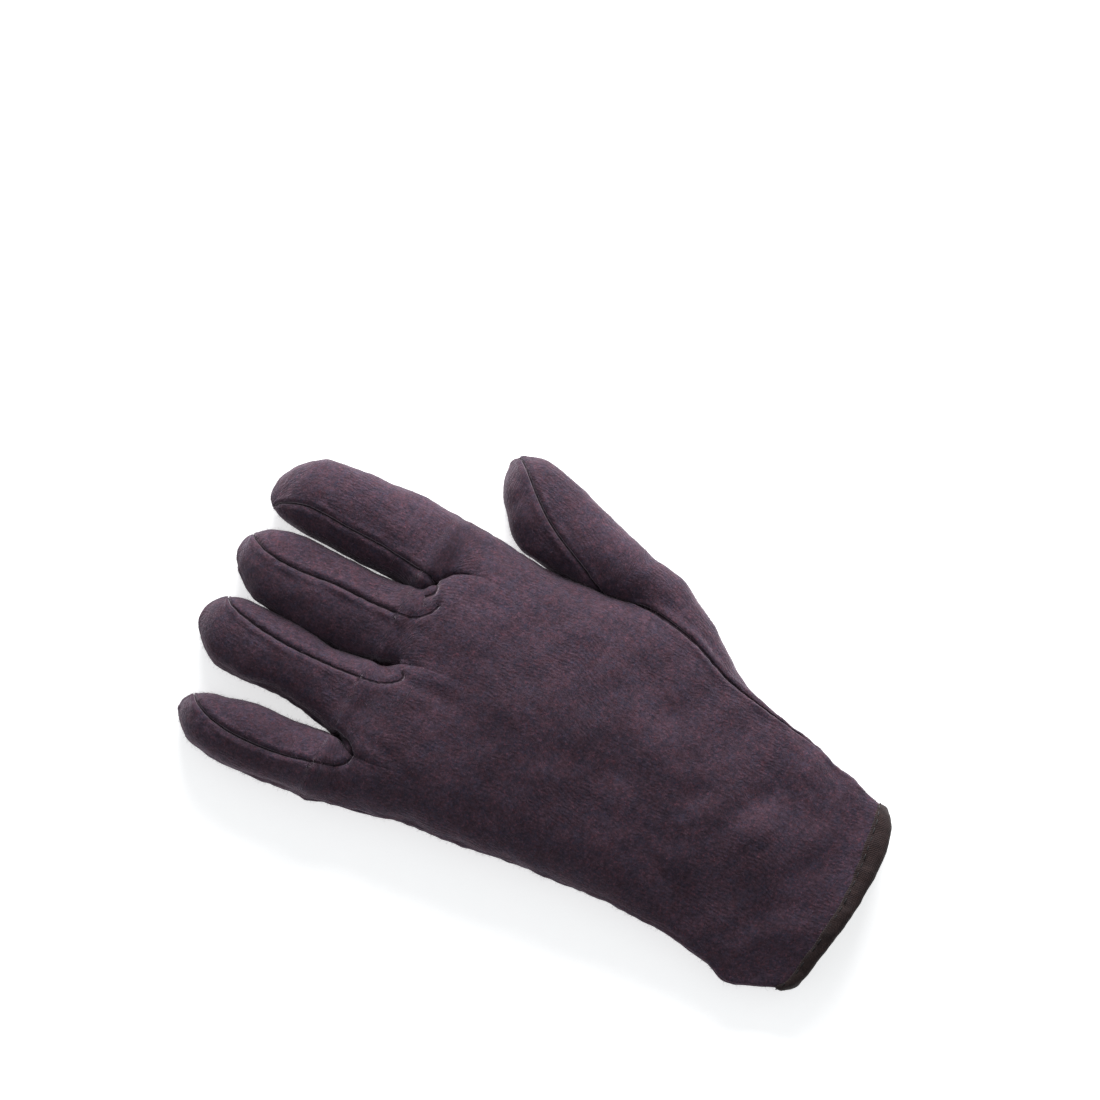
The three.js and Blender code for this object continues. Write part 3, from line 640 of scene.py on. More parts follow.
def thumb_panel(root_part):
    panel = Panel("thumb_panel")
    points = np.vstack([root_part[:-1], thumb_surface(FINGER_AT, THUMB_PLACES)])
    along = travelled(points, 0)
    seam = np.minimum(edge_distance(points), along[-1:] - along)
    panel.add(points, cloth_coordinates(points, THUMB_COLUMNS // 2, (0, 0)), seam)
    return panel


def smooth_normals(panels):
    """Normals of the whole form, the same on both sides of a seam."""
    points = np.concatenate([panel.points for panel in panels])
    start = np.cumsum([0] + [len(panel.points) for panel in panels])
    faces = np.concatenate([panel.faces() + start[i] for i, panel in enumerate(panels)])
    a, b, c, d = (points[faces[:, i]] for i in range(4))
    face_normals = np.cross(c - a, d - b)
    keys = np.round(points / SAME_PLACE).astype(np.int64)
    _, same = np.unique(keys, axis=0, return_inverse=True)
    same = same.ravel()
    total = np.zeros((same.max() + 1, 3))
    for corner in range(4):
        np.add.at(total, same[faces[:, corner]], face_normals)
    normals = total[same]
    normals /= np.maximum(np.linalg.norm(normals, axis=1, keepdims=True), 1e-9)
    return [normals[start[i] : start[i + 1]] for i in range(len(panels))]


def ripples(points, length, count, seed):
    """Smooth noise without a grain: plane waves of about one length in every direction."""
    random = np.random.default_rng(seed)
    directions = random.normal(size=(count, 3))
    directions /= np.linalg.norm(directions, axis=1, keepdims=True)
    lengths = length * random.uniform(0.7, 1.4, count)
    phases = random.uniform(0, 2 * np.pi, count)
    total = np.zeros(len(points))
    for direction, wave, phase in zip(directions, lengths, phases):
        total += np.cos(points @ direction * (2 * np.pi / wave) + phase)
    return total / math.sqrt(count / 2)


def creases(points):
    """Long soft creases in the back of the hand, each a valley between two low ridges."""
    height = np.zeros(len(points))
    for crease in CREASES:
        along, across = turned_axes(points[:, 0] - crease["x"], points[:, 1] - crease["y"], crease["turn"])
        along = along / crease["long"]
        across = across / crease["wide"]
        across = across + CREASE_BEND * along * along
        valley = bell(across, 1)
        for side in (-1, 1):
            valley = valley - RIDGE_HEIGHT * bell(across + side * RIDGE_PLACE, RIDGE_REACH)
        height -= crease["depth"] * valley * bell(along, 1)
    return height * ramp(points[:, 2], SIDE_HEIGHT, SIDE_HEIGHT + 6)


def relief(points, seam, hook):
    """How far the cloth stands out from the plain form at each point."""
    seam = np.minimum(seam, np.abs(hook))
    puckers = PUCKER_HEIGHT * ripples(points, PUCKER_PITCH, count=14, seed=5) * np.exp(-seam / PUCKER_REACH)
    folds = sum(height * ripples(points, length, count, seed) for height, length, count, seed in FOLDS)
    folds = folds * mix(FOLDS_AT_SEAM, 1, ramp(seam, 0, 5))
    uneven = 1 + LIP_UNEVENNESS * ripples(points, 8, count=10, seed=4)
    lip = LIP_HEIGHT * bell(seam - LIP_PLACE, LIP_REACH) * uneven
    groove = -SEAM_DEPTH * bell(seam, SEAM_REACH)
    free = ramp(points[:, 1], *HELD_BY_TAPE)
    folded = folds * mix(FOLDS_AT_CUFF, 1, free) + (lip + groove + puckers) * free
    return folded + creases(points) - SLACK * mix(SLACK_AT_CUFF, 1, free)


def bowed(points):
    """The corners of the cuff lie behind the middle of its edge."""
    edge = hand_at(np.array(0.0))
    across = np.clip((points[:, 0] - edge["middle"]) / edge["half"], -1, 1)
    near = 1 - eased(np.clip(points[:, 1] / CUFF_BOW_REACH, 0, 1))
    moved = points.copy()
    moved[:, 1] += section(CUFF_EDGE, across)["behind"] * near
    return moved


def on_the_ground(points):
    moved = points.copy()
    moved[:, 2] = np.maximum(moved[:, 2], GROUND_GAP)
    return moved


def boundary(faces):
    """The edges that only one cell has, in that cell's own direction."""
    start = faces.ravel()
    end = np.roll(faces, -1, axis=1).ravel()
    keys = {}
    for a, b in zip(start.tolist(), end.tolist()):
        if (b, a) in keys:
            del keys[(b, a)]
        else:
            keys[(a, b)] = True
    return np.array(list(keys))


def new_object(name, data):
    made = bpy.data.objects.new(name, data)
    bpy.context.scene.collection.objects.link(made)
    return made


def mesh_piece(name, points, faces, material, maps):
    """A piece from points in millimetres on the hand's own axes, with its cloth coordinates."""
    mesh = bpy.data.meshes.new(name)
    placed = (bowed(points) + PLACE) * MM
    mesh.from_pydata(placed.tolist(), [], faces.tolist())
    mesh.polygons.foreach_set("use_smooth", np.ones(len(mesh.polygons), bool))
    layer = mesh.uv_layers.new(name="cloth")
    loops = np.zeros(len(mesh.loops), np.int32)
    mesh.loops.foreach_get("vertex_index", loops)
    layer.data.foreach_set("uv", (maps[loops] * MM).ravel())
    mesh.update()
    mesh.materials.append(material)
    return new_object(name, mesh)


def sewn_cloth(panel, normals, material):
    """The panel's cloth: an outer and an inner face, closed along its edges."""
    faces = panel.faces()
    edges = boundary(faces)
    hook = hook_distance(panel.points)
    outer = panel.points + normals * relief(panel.points, panel.seam, hook)[:, None]
    outer = on_the_ground(outer)
    inner = outer - normals * WALL
    inner[:, 2] = np.maximum(inner[:, 2], INNER_GAP)
    count = len(outer)
    walls = np.stack([edges[:, 0], count + edges[:, 0], count + edges[:, 1], edges[:, 1]], axis=-1)
    every = np.concatenate([faces, faces[:, ::-1] + count, walls])
    maps = np.vstack([panel.cloth, panel.cloth])
    piece = mesh_piece(panel.name + "_cloth", np.vstack([outer, inner]), every, material, maps)
    crisp_edges(piece.data, edges)
    inside = np.full(count, FAR)
    for label, values in (
        ("napped", np.append(outer[:, 2] > NAP_START, np.zeros(count))),
        ("seam", np.append(panel.seam, inside)),
        ("hook", np.append(hook, inside)),
    ):
        piece.data.attributes.new(label, "FLOAT", "POINT").data.foreach_set("value", values)
    return piece


def crisp_edges(mesh, edges):
    """Keeps each cut edge crisp, so that the cloth's outer face shades right up to it."""
    cut = {frozenset(pair) for pair in edges.tolist()}
    pairs = np.zeros(2 * len(mesh.edges), np.int32)
    mesh.edges.foreach_get("vertices", pairs)
    sharp = [frozenset(pair) in cut for pair in pairs.reshape(-1, 2).tolist()]
    mesh.attributes.new("sharp_edge", "BOOLEAN", "EDGE").data.foreach_set("value", sharp)


def finished(piece, slot_name, *nodes):
    """Hangs a finished piece on the glove's one body."""
    if nodes:
        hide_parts(*nodes)
    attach(piece, "root")
    return piece


# Binding of the cuff

# The folded tape from its outer edge over the fold to its inner edge: distances from the cuff and the cloth
TAPE_ROUTE = (
    (7.3, -0.05), (6.9, 0.15), (6.0, 0.4), (4.5, 0.6), (2.8, 0.68), (1.5, 0.55), (0.65, 0.2), (0.15, -0.3),
    (0.0, -0.9), (0.15, -1.6), (0.6, -2.1), (1.4, -2.4), (3.0, -2.4), (5.0, -2.4), (6.4, -2.3),
)
# How much of its full width the tape shows, from the little side to the thumb side
TAPE_SHOWN = table(
    "at share", (-1, 0.4), (-0.7, 0.55), (-0.4, 0.6), (0, 0.73), (0.3, 0.87), (0.68, 1), (0.85, 0.88),
    (1, 0.55),
)
TAPE_CLOTH = 0.6
TAPE_COLUMNS = 480
TAPE_ROWS = np.linspace(-0.6, 7.8, 22)  # distances from the cuff at which the tape finds the cloth below it
TAPE_CLOSER = 0.45  # how much closer the tape lies to the cloth at the two corners of the cuff
CUFF_CORNER = 0.86  # share of the half width from which a corner counts
STITCH_LINE = (6.1, 0.68)
STITCH_LENGTH = 2.3
STITCH_PITCH = 3.3
THREAD = 0.5


def cuff_loops(distances):
    """Loops round the cuff at distances from its edge: evenly spaced points and their outward normals."""
    distances = distances[:, None]
    back, thumb, palm = thumb_root(distances, HAND_PLACES, THUMB_PLACES)
    loops = np.concatenate([back, thumb[:, 1:], palm[:, 1:]], axis=1)
    lengths = travelled(loops, 1)
    even = np.linspace(0, 1, TAPE_COLUMNS + 1)[:-1]
    spaced = np.zeros((len(loops), len(even), 3))
    for row in range(len(loops)):
        places = lengths[row] / lengths[row, -1]
        for axis in range(3):
            spaced[row, :, axis] = np.interp(even, places, loops[row, :, axis])
    along = np.roll(spaced, -2, axis=1) - np.roll(spaced, 2, axis=1)
    normals = np.stack([-along[..., 2], 0 * along[..., 0], along[..., 0]], axis=-1)
    normals /= np.linalg.norm(normals, axis=-1, keepdims=True)
    spaced[..., 1] = distances
    return spaced, normals


def strip_outline(route, thickness):
    """A closed outline of even thickness round an open route, with rounded ends."""
    route = np.array(route)
    along = np.gradient(route, axis=0)
    along /= np.linalg.norm(along, axis=1, keepdims=True)
    aside = np.stack([-along[:, 1], along[:, 0]], axis=1) * thickness / 2
    start = route[0] - along[0] * thickness * 0.35
    end = route[-1] + along[-1] * thickness * 0.35
    return np.vstack([[start], route + aside, [end], (route - aside)[::-1]])


def round_the_cuff(outline):
    """An outline of (distance from the cuff, distance from the cloth), carried round the cuff."""
    outline = np.array(outline)
    rows = TAPE_ROWS
    loops, normals = cuff_loops(rows)
    edge = hand_at(np.array(0.0))
    across = np.clip((loops[0, :, 0] - edge["middle"]) / edge["half"], -1, 1)
    distance = outline[:, :1] * section(TAPE_SHOWN, across)["share"]
    place = (distance - rows[0]) / (rows[1] - rows[0])
    row = np.clip(np.floor(place).astype(int), 0, len(rows) - 2)
    share = (place - row)[..., None]
    column = np.arange(loops.shape[1])
    standing = outline[:, 1:] - TAPE_CLOSER * ramp(np.abs(across), CUFF_CORNER, 1) * (outline[:, 1:] > 0)
    points = mix(loops[row, column], loops[row + 1, column], share)
    points += mix(normals[row, column], normals[row + 1, column], share) * standing[..., None]
    points[..., 1] = distance
    return points


def sewn_unevenly(points):
    """How far the tape and its stitches stray from an even line."""
    return 0.16 * ripples(points, 30, count=8, seed=23)


def binding_tape(material):
    outline = strip_outline(TAPE_ROUTE, TAPE_CLOTH)
    points = round_the_cuff(outline)
    shape = points.shape[:2]
    flat = points.reshape(-1, 3)
    wave = 0.1 * ripples(flat, 9, count=12, seed=21) + 0.05 * ripples(flat, 3.5, count=14, seed=22)
    flat[:, 1] += sewn_unevenly(flat) + wave
    flat[:, 2] += wave
    here = np.arange(len(flat)).reshape(shape)
    beside = np.roll(here, -1, axis=1)
    corners = (here, beside, np.roll(beside, -1, axis=0), np.roll(here, -1, axis=0))
    quads = np.stack(corners, axis=-1).reshape(-1, 4)
    over = np.cumsum(np.append(0, np.linalg.norm(np.diff(outline, axis=0), axis=1)))
    maps = np.stack([travelled(points, 1), np.broadcast_to(over[:, None], shape)], axis=-1).reshape(-1, 2)
    return mesh_piece("cuff_binding_tape", on_the_ground(flat), quads, material, maps)


# Node networks


class Network:
    """Adds nodes to a tree and links them, with short words for both."""

    def __init__(self, tree):
        self.tree = tree

    def give(self, node, inputs):
        """Links inputs of a node to other nodes, or sets them to plain values."""
        for key, value in inputs.items():
            if isinstance(value, bpy.types.NodeSocket):
                self.tree.links.new(value, node.inputs[key])
            else:
                node.inputs[key].default_value = value

    def node(self, kind, inputs=None, **settings):
        made = self.tree.nodes.new(kind)
        for name, value in settings.items():
            setattr(made, name, value)
        self.give(made, inputs or {})
        return made

    def out(self, kind, inputs=None, **settings):
        return self.node(kind, inputs, **settings).outputs[0]

    def math(self, operation, *values):
        return self.out("ShaderNodeMath", dict(enumerate(values)), operation=operation)

    def times(self, first, second):
        return self.math("MULTIPLY", first, second)

    def plus(self, first, second):
        return self.math("ADD", first, second)

    def minus(self, first, second):
        return self.math("SUBTRACT", first, second)

    def scaled(self, value, factor, base):
        return self.math("MULTIPLY_ADD", value, factor, base)

    def wave(self, turns, depth):
        """Waves from 0 to 1, one for each turn."""
        return self.scaled(self.math("COSINE", self.times(turns, 2 * math.pi)), depth, 0.5)

    def moved(self, place, by):
        return self.out("ShaderNodeVectorMath", {0: place, 1: by}, operation="ADD")

    def shaded(self, colour, shade):
        return self.out("ShaderNodeVectorMath", {0: colour, "Scale": shade}, operation="SCALE")

    def noise(self, place, scale, detail, roughness, distortion=0.0):
        inputs = {"Vector": place, "Scale": scale, "Detail": detail, "Roughness": roughness}
        inputs["Distortion"] = distortion
        return self.node("ShaderNodeTexNoise", inputs).outputs["Fac"]

    def spread(self, value, low, high, to_low=0.0, to_high=1.0):
        inputs = {"Value": value, "From Min": low, "From Max": high, "To Min": to_low, "To Max": to_high}
        return self.out("ShaderNodeMapRange", inputs, interpolation_type="SMOOTHSTEP")

    def mixed(self, share, first, second):
        return self.node("ShaderNodeMix", {0: share, 6: first, 7: second}, data_type="RGBA").outputs[2]

    def bump(self, height, strength, distance):
        return self.out("ShaderNodeBump", {"Height": height, "Strength": strength, "Distance": distance})

    def object_place(self):
        return self.node("ShaderNodeTexCoord").outputs["Object"]

    def cloth_place(self):
        return self.out("ShaderNodeUVMap", uv_map="cloth")

    def attribute(self, name):
        return self.node("ShaderNodeAttribute", attribute_name=name).outputs["Fac"]

    def group(self, tree, **inputs):
        return self.node("ShaderNodeGroup", inputs, node_tree=tree).outputs


def new_group(name, kind, inputs, outputs):
    tree = bpy.data.node_groups.new(name, kind)
    for way, sockets in (("INPUT", inputs), ("OUTPUT", outputs)):
        for label, holds, *default in sockets:
            socket = tree.interface.new_socket(label, in_out=way, socket_type="NodeSocket" + holds)
            if default:
                socket.default_value = default[0]
    given, out = tree.nodes.new("NodeGroupInput"), tree.nodes.new("NodeGroupOutput")
    return tree, Network(tree), given.outputs, out.inputs


def heather_group():
    """Dyed cotton fibres of slightly different colours, blended before spinning, and a soft mottling."""
    tree, net, given, out = new_group(
        "heather",
        "ShaderNodeTree",
        [
            ("Position", "Vector"),
            ("Base", "Color"),
            ("Warm", "Color", (0.115, 0.042, 0.058, 1)),
            ("Cool", "Color", (0.032, 0.032, 0.062, 1)),
            ("Amount", "Float"),
        ],
        [("Color", "Color")],
    )
    place = given["Position"]
    warm = net.spread(net.noise(place, 1150, 2, 0.6), 0.53, 0.68)
    cool = net.spread(net.noise(net.moved(place, (3, 1, 2)), 1300, 2, 0.6), 0.54, 0.7)
    pale = net.spread(net.noise(net.moved(place, (7, 5, 1)), 2100, 1, 0.5), 0.64, 0.8)
    colour = net.mixed(net.times(warm, given["Amount"]), given["Base"], given["Warm"])
    colour = net.mixed(net.times(cool, given["Amount"]), colour, given["Cool"])
    colour = net.mixed(net.times(pale, 0.3), colour, (0.16, 0.13, 0.15, 1))
    tinted = net.spread(net.noise(net.moved(place, (2, 9, 4)), 260, 3, 0.6), 0.3, 0.7)
    colour = net.mixed(0.22, colour, net.mixed(tinted, given["Cool"], given["Warm"]))
    broad = net.spread(net.noise(place, 42, 3, 0.55), 0.3, 0.7, 0.9, 1.1)
    fine = net.spread(net.noise(place, 520, 3, 0.65), 0.25, 0.75, 0.8, 1.2)
    shade = net.times(broad, fine)
    tree.links.new(net.shaded(colour, shade), out["Color"])
    return tree


def jersey_group():
    """The face of a jersey knit: ribs of slanting stitches, half hidden where the nap is thick; also painted
    shade in its hollows.
    """
    tree, net, given, out = new_group(
        "jersey_knit",
        "ShaderNodeTree",
        [
            ("Cloth", "Vector"),
            ("Position", "Vector"),
            ("Rib", "Float", 0.00135),
            ("Course", "Float", 0.0011),
        ],
        [("Height", "Float"), ("Valley", "Float"), ("Nap", "Float")],
    )
    place = given["Position"]
    waver = net.minus(net.noise(place, 75, 2, 0.5), 0.5)
    jitter = net.minus(net.noise(net.moved(place, (1, 4, 9)), 420, 2, 0.5), 0.5)
    parts = net.node("ShaderNodeSeparateXYZ", {0: given["Cloth"]}).outputs
    ribs = net.math("DIVIDE", parts["X"], given["Rib"])
    ribs = net.plus(ribs, net.scaled(waver, 2.2, net.times(jitter, 1.7)))
    beside = net.math("ABSOLUTE", net.minus(net.math("FRACT", ribs), 0.5))
    rows = net.plus(net.math("DIVIDE", parts["Y"], given["Course"]), net.times(beside, 1.3))
    rows = net.plus(rows, net.times(jitter, 1.2))
    rib = net.wave(ribs, -0.5)
    stitch = net.wave(rows, 0.5)
    knit = net.times(rib, net.scaled(stitch, 0.4, 0.6))
    shown = net.spread(net.noise(net.moved(place, (5, 2, 8)), 46, 3, 0.6), 0.42, 0.66, 0.12, 0.8)
    fuzz = net.noise(place, 1300, 3, 0.65)
    drawn = net.node("ShaderNodeMapping", {"Vector": given["Cloth"], "Scale": (1.0, 0.7, 1.0)}).outputs[0]
    grain = net.noise(drawn, 780, 3, 0.6, 0.6)
    knit = net.times(knit, net.times(shown, 0.32))
    felt = net.scaled(grain, 0.9, net.times(fuzz, 0.6))
    tree.links.new(net.plus(knit, felt), out["Height"])
    # painted shade: darker between the ribs and where the grain lies low
    painted_hollow_shade = net.times(net.minus(1.0, rib), shown)
    painted_hollow_shade = net.scaled(painted_hollow_shade, 0.27, net.spread(grain, 0.6, 0.38, 0.0, 0.5))
    tree.links.new(painted_hollow_shade, out["Valley"])
    tree.links.new(fuzz, out["Nap"])
    return tree


def weave_group():
    """A plain woven tape: threads over and under each other, with painted shade in the gaps between them."""
    tree, net, given, out = new_group(
        "tape_weave",
        "ShaderNodeTree",
        [("Cloth", "Vector"), ("Pitch", "Float")],
        [("Height", "Float"), ("Gap", "Float")],
    )
    parts = net.node("ShaderNodeSeparateXYZ", {0: given["Cloth"]}).outputs
    waver = net.times(net.minus(net.noise(given["Cloth"], 300, 2, 0.5), 0.5), 0.9)
    heights = []
    for axis in ("X", "Y"):
        turn = net.plus(net.math("DIVIDE", parts[axis], given["Pitch"]), waver)
        heights.append(net.math("SINE", net.times(turn, 2 * math.pi)))
    weave = net.scaled(net.times(*heights), 0.5, 0.5)
    tree.links.new(weave, out["Height"])
    tree.links.new(net.minus(1.0, weave), out["Gap"])
    return tree


def new_material(name):
    material = bpy.data.materials.new(name)
    material.use_nodes = True
    tree = material.node_tree
    tree.nodes.clear()
    net = Network(tree)
    shader = net.node("ShaderNodeBsdfPrincipled")
    net.node("ShaderNodeOutputMaterial", {"Surface": shader.outputs[0]})
    return material, net, shader


def seam_line(net):
    """1 in the crease of a seam, 0 on the open cloth: a mask for painted shade in the crease and for its
    bump.
    """
    distances = [net.math("ABSOLUTE", net.attribute(name)) for name in ("seam", "hook")]
    return net.math("MAXIMUM", *(net.spread(distance, 0.18, 0.6, 1.0, 0.0) for distance in distances))


def brushed_jersey(heather, knit):
    material, net, shader = new_material("brushed_jersey")
    place = net.object_place()
    face = net.group(knit, Cloth=net.cloth_place(), Position=place)
    colour = net.group(heather, Position=place, Base=(0.051, 0.0335, 0.0475, 1), Amount=0.66)["Color"]
    # painted shade: the colour darkens in the knit's hollows
    dark = net.scaled(face["Valley"], -0.42, 1.0)
    dusty = net.spread(face["Nap"], 0.3, 0.75, 0.8, 1.25)
    # painted shade: the colour darkens in the crease of each seam, which also sinks the bump there
    sewn = seam_line(net)
    shade = net.times(net.times(dark, dusty), net.scaled(sewn, -0.55, 1.0))
    net.give(
        shader,
        {
            "Base Color": net.shaded(colour, shade),
            "Normal": net.bump(net.scaled(sewn, -1.2, face["Height"]), 0.9, 0.0004),
            "Roughness": net.spread(face["Nap"], 0.3, 0.7, 0.86, 1.0),
            "Specular IOR Level": 0.15,
            "Sheen Weight": 0.55,
            "Sheen Roughness": 0.38,
            "Sheen Tint": (0.62, 0.52, 0.6, 1),
        },
    )
    return material


def woven_tape(heather, weave):
    material, net, shader = new_material("woven_tape")
    face = net.group(weave, Cloth=net.cloth_place(), Pitch=0.00085)
    colour = net.group(
        heather,
        Position=net.object_place(),
        Base=(0.026, 0.0155, 0.0155, 1),
        Warm=(0.058, 0.031, 0.027, 1),
        Cool=(0.02, 0.0135, 0.0165, 1),
        Amount=0.5,
    )["Color"]
    net.give(
        shader,
        {
            # painted shade: the colour darkens in the gaps between the threads
            "Base Color": net.shaded(colour, net.scaled(face["Gap"], -0.45, 1.1)),
            "Normal": net.bump(face["Height"], 0.8, 0.0002),
            "Roughness": net.spread(face["Height"], 0, 1, 0.85, 0.68),
            "Specular IOR Level": 0.12,
            "Sheen Weight": 0.12,
            "Sheen Roughness": 0.5,
        },
    )
    return material


def sewing_thread():
    material, net, shader = new_material("sewing_thread")
    turned = net.out("ShaderNodeMapping", {"Vector": net.object_place(), "Rotation": (0, 0, 0.7)})
    ply = net.noise(turned, 2600, 1, 0.4)
    dark, pale = (0.005, 0.004, 0.005, 1), (0.016, 0.012, 0.014, 1)
    net.give(
        shader,
        {
            "Base Color": net.mixed(net.spread(ply, 0.35, 0.65), dark, pale),
            "Normal": net.bump(ply, 0.6, 0.0001),
            "Roughness": net.spread(ply, 0.3, 0.7, 0.5, 0.7),
        },
    )
    return material


def nap_fibre(heather):
    material, net, shader = new_material("nap_fibre")
    shade = net.attribute("shade")
    place = net.object_place()
    colour = net.group(heather, Position=place, Base=(0.07, 0.048, 0.062, 1), Amount=0.6)["Color"]
    net.give(
        shader,
        {
            "Base Color": net.shaded(colour, net.spread(shade, 0, 1, 0.7, 1.9)),
            "Roughness": net.spread(shade, 0, 1, 0.75, 0.95),
            "Specular IOR Level": 0.2,
        },
    )
    return material


def studio_floor():
    material, net, shader = new_material("studio_floor")
    grain = net.spread(net.noise(net.object_place(), 180, 3, 0.5), 0.3, 0.7)
    net.give(
        shader,
        {
            "Base Color": net.mixed(grain, (0.885, 0.885, 0.885, 1), (0.9, 0.9, 0.9, 1)),
            "Roughness": 0.9,
            "Specular IOR Level": 0.1,
            "Emission Color": (1, 1, 1, 1),
            "Emission Strength": 0.64,
        },
    )
    return material


# Pieces made with Geometry Nodes


def grown(source, tree, name, values):
    """The result of a Geometry Nodes tree on a source object, as a plain piece."""
    modifier = source.modifiers.new(name, "NODES")
    modifier.node_group = tree
    sockets = {item.name: item.identifier for item in tree.interface.items_tree if item.in_out == "INPUT"}
    for label, value in values.items():
        modifier[sockets[label]] = value
    source.update_tag()
    evaluated = source.evaluated_get(bpy.context.evaluated_depsgraph_get())
    mesh = bpy.data.meshes.new_from_object(evaluated)
    mesh.name = name
    source.modifiers.remove(modifier)
    return new_object(name, mesh)


def nap_tree():
    """Short bent fibres standing out of a cloth's outer face."""
    tree, net, given, out = new_group(
        "nap_fibres",
        "GeometryNodeTree",
        [
            ("Geometry", "Geometry"),
            ("Fibres per square metre", "Float"),
            ("Length", "Float", 0.0012),
            ("Width", "Float", 0.00004),
            ("Seed", "Int"),
            ("Material", "Material"),
        ],
        [("Geometry", "Geometry")],
    )
    napped = net.out("GeometryNodeInputNamedAttribute", {"Name": "napped"}, data_type="FLOAT")
    outside = net.out("FunctionNodeCompare", {0: napped, 1: 0.99}, operation="GREATER_THAN")
    area = {"Mesh": given["Geometry"], "Selection": outside, "Seed": given["Seed"]}
    area["Density"] = given["Fibres per square metre"]
    spots = net.node("GeometryNodeDistributePointsOnFaces", area).outputs
    blade = net.out("GeometryNodeMeshGrid", {"Size X": 1.0, "Size Y": 1.0, "Vertices X": 2, "Vertices Y": 3})
    at = net.node("ShaderNodeSeparateXYZ", {0: net.out("GeometryNodeInputPosition")}).outputs
    height = net.plus(at["Y"], 0.5)
    slim = net.scaled(height, -0.6, 1.0)
    bend = net.times(net.times(height, height), given["Length"])
    bent = {
        "X": net.times(net.times(at["X"], slim), given["Width"]),
        "Y": net.times(bend, 0.6),
        "Z": net.times(height, given["Length"]),
    }
    shaped = net.out("ShaderNodeCombineXYZ", bent)
    strand = net.out("GeometryNodeSetPosition", {"Geometry": blade, "Position": shaped})
    any_way = {0: (-1.0, -1.0, -3.14), 1: (1.0, 1.0, 3.14)}
    tilt = net.out("FunctionNodeRandomValue", any_way, data_type="FLOAT_VECTOR")
    standing = {"Rotation": spots["Rotation"], "Rotate By": tilt}
    turned = net.out("FunctionNodeRotateRotation", standing, rotation_space="LOCAL")
    size = net.node("FunctionNodeRandomValue", {2: 0.45, 3: 1.35, "Seed": 5}, data_type="FLOAT").outputs[1]
    laid = {"Points": spots["Points"], "Instance": strand, "Rotation": turned, "Scale": size}
    planted = net.out("GeometryNodeInstanceOnPoints", laid)
    shade = net.node("FunctionNodeRandomValue", {2: 0.0, 3: 1.0, "Seed": 9}, data_type="FLOAT").outputs[1]
    label = {"Geometry": planted, "Name": "shade", "Value": shade}
    named = net.out("GeometryNodeStoreNamedAttribute", label, data_type="FLOAT", domain="INSTANCE")
    real = net.out("GeometryNodeRealizeInstances", {0: named})
    dyed = net.out("GeometryNodeSetMaterial", {"Geometry": real, "Material": given["Material"]})
    tree.links.new(dyed, out["Geometry"])
    return tree


def stitch_tree():
    """Thread stitches laid at an even pitch along a closed line."""
    tree, net, given, out = new_group(
        "thread_stitches",
        "GeometryNodeTree",
        [
            ("Geometry", "Geometry"),
            ("Pitch", "Float"),
            ("Length", "Float"),
            ("Thickness", "Float"),
            ("Material", "Material"),
        ],
        [("Geometry", "Geometry")],
    )
    line = net.out("GeometryNodeMeshToCurve", {"Mesh": given["Geometry"]})
    even = net.out("GeometryNodeResampleCurve", {"Curve": line, "Length": given["Pitch"]}, mode="LENGTH")
    tangent = net.out("GeometryNodeInputTangent")
    turn = net.out("FunctionNodeAlignRotationToVector", {"Vector": tangent}, axis="Z")
    body = net.out("GeometryNodeMeshUVSphere", {"Segments": 8, "Rings": 6, "Radius": 0.5})
    sides = {"X": given["Thickness"], "Y": given["Thickness"], "Z": given["Length"]}
    size = net.out("ShaderNodeCombineXYZ", sides)
    stitches = {"Points": even, "Instance": body, "Rotation": turn, "Scale": size}
    laid = net.out("GeometryNodeInstanceOnPoints", stitches)
    real = net.out("GeometryNodeRealizeInstances", {0: laid})
    smooth = net.out("GeometryNodeSetShadeSmooth", {"Geometry": real})
    dyed = net.out("GeometryNodeSetMaterial", {"Geometry": smooth, "Material": given["Material"]})
    tree.links.new(dyed, out["Geometry"])
    return tree


def cuff_stitches(tree, material):
    points = round_the_cuff([STITCH_LINE])[0]
    points[:, 2] = np.maximum(points[:, 2], THREAD / 2 + 0.05)
    points[:, 1] += sewn_unevenly(points)
    mesh = bpy.data.meshes.new("stitch_line")
    count = len(points)
    edges = [(i, (i + 1) % count) for i in range(count)]
    mesh.from_pydata(((bowed(points) + PLACE) * MM).tolist(), edges, [])
    line = new_object("stitch_line", mesh)
    values = {"Pitch": STITCH_PITCH * MM, "Length": STITCH_LENGTH * MM, "Thickness": THREAD * MM}
    values["Material"] = material
    piece = grown(line, tree, "cuff_stitches", values)
    bpy.data.objects.remove(line)
    return piece


# Studio

TARGET = Vector((0.0458, 0.0285, 0.0095))
IMAGE_UP = Vector((0.872, 0.490, 0.0))
CAMERA_HEIGHT = math.radians(78)
CAMERA_DISTANCE = 1.0572
LIGHT_PLACE = Vector((0.6, 0.25, 0.25))
LIGHT_SIZE = 0.5
LIGHT_POWER = 10.8
SKY_COLOUR = (0.93, 0.97, 1, 1)
SKY_STRENGTH = 0.38
FLOOR_REACH = 3.0


def aimed(thing, place, target, up):
    back = (place - target).normalized()
    right = up.cross(back).normalized()
    turned = Matrix((right, back.cross(right), back)).transposed()
    thing.matrix_world = Matrix.Translation(place) @ turned.to_4x4()


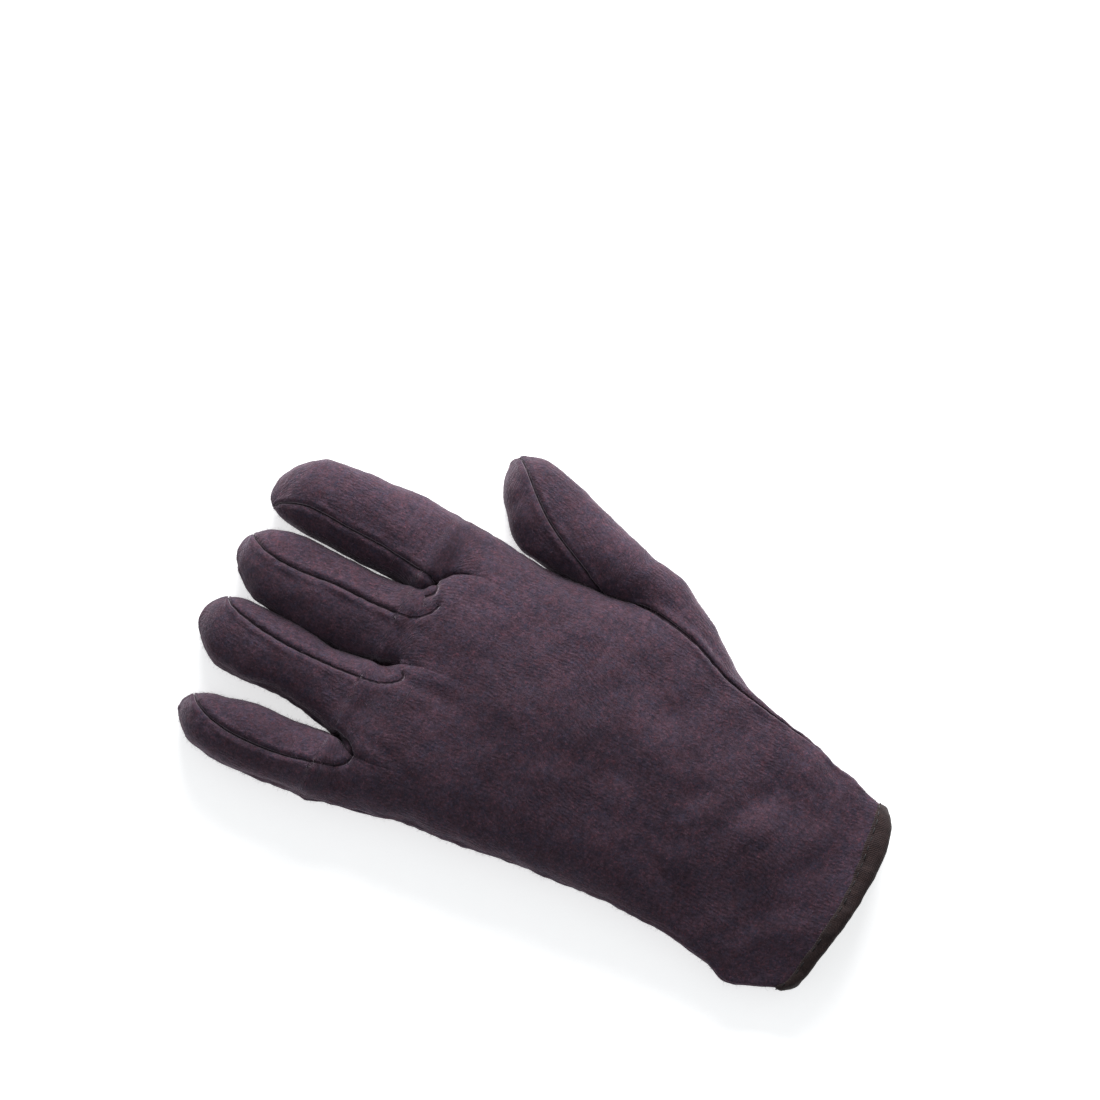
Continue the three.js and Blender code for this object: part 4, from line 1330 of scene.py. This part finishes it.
def floor_piece(material):
    mesh = bpy.data.meshes.new("floor")
    corners = [(x * FLOOR_REACH, y * FLOOR_REACH, 0) for x, y in ((-1, -1), (1, -1), (1, 1), (-1, 1))]
    mesh.from_pydata(corners, [], [(0, 1, 2, 3)])
    mesh.materials.append(material)
    new_object("floor", mesh)


def photograph_camera():
    data = bpy.data.cameras.new("camera")
    data.lens = 100
    data.sensor_width = 36
    data.clip_start = 0.01
    camera = new_object("camera", data)
    offset = Vector((0, 0, math.sin(CAMERA_HEIGHT))) - IMAGE_UP.normalized() * math.cos(CAMERA_HEIGHT)
    aimed(camera, TARGET + offset * CAMERA_DISTANCE, TARGET, IMAGE_UP)
    bpy.context.scene.camera = camera


def studio_light():
    """A soft light from the thumb side, and an even pale sky."""
    light = bpy.data.lights.new("key_light", "AREA")
    light.shape = "SQUARE"
    light.size = LIGHT_SIZE
    light.energy = LIGHT_POWER
    aimed(new_object("key_light", light), LIGHT_PLACE, Vector((0, 0, 0)), Vector((0, 0, 1)))
    world = bpy.data.worlds.new("studio")
    world.use_nodes = True
    sky = world.node_tree.nodes["Background"].inputs
    sky["Color"].default_value = SKY_COLOUR
    sky["Strength"].default_value = SKY_STRENGTH
    bpy.context.scene.world = world
    bpy.context.scene.view_settings.view_transform = "Standard"


# The glove


def main():
    heather = heather_group()
    cloth = brushed_jersey(heather, jersey_group())
    fibre = nap_fibre(heather)
    thread = sewing_thread()
    panels, thumb_part = hand_panels()
    panels["ring_finger_front"] = finger_front("ring_finger_front", 1)
    panels["middle_finger_front"] = finger_front("middle_finger_front", 2)
    panels["thumb_panel"] = thumb_panel(thumb_part)
    normals = smooth_normals(list(panels.values()))
    nap = nap_tree()
    for (name, panel), normal in zip(panels.items(), normals):
        piece = sewn_cloth(panel, normal, cloth)
        values = {"Fibres per square metre": FIBRES_PER_SQUARE_METRE, "Seed": len(name), "Material": fibre}
        fuzz = grown(piece, nap, name + "_nap", values)
        finished(piece, "jersey", name)
        finished(fuzz, "jersey")
    tape = finished(binding_tape(woven_tape(heather, weave_group())), "binding_tape", "cuff_binding")
    stitches = finished(cuff_stitches(stitch_tree(), thread), "binding_tape")
    floor_piece(studio_floor())
    photograph_camera()
    studio_light()


main()
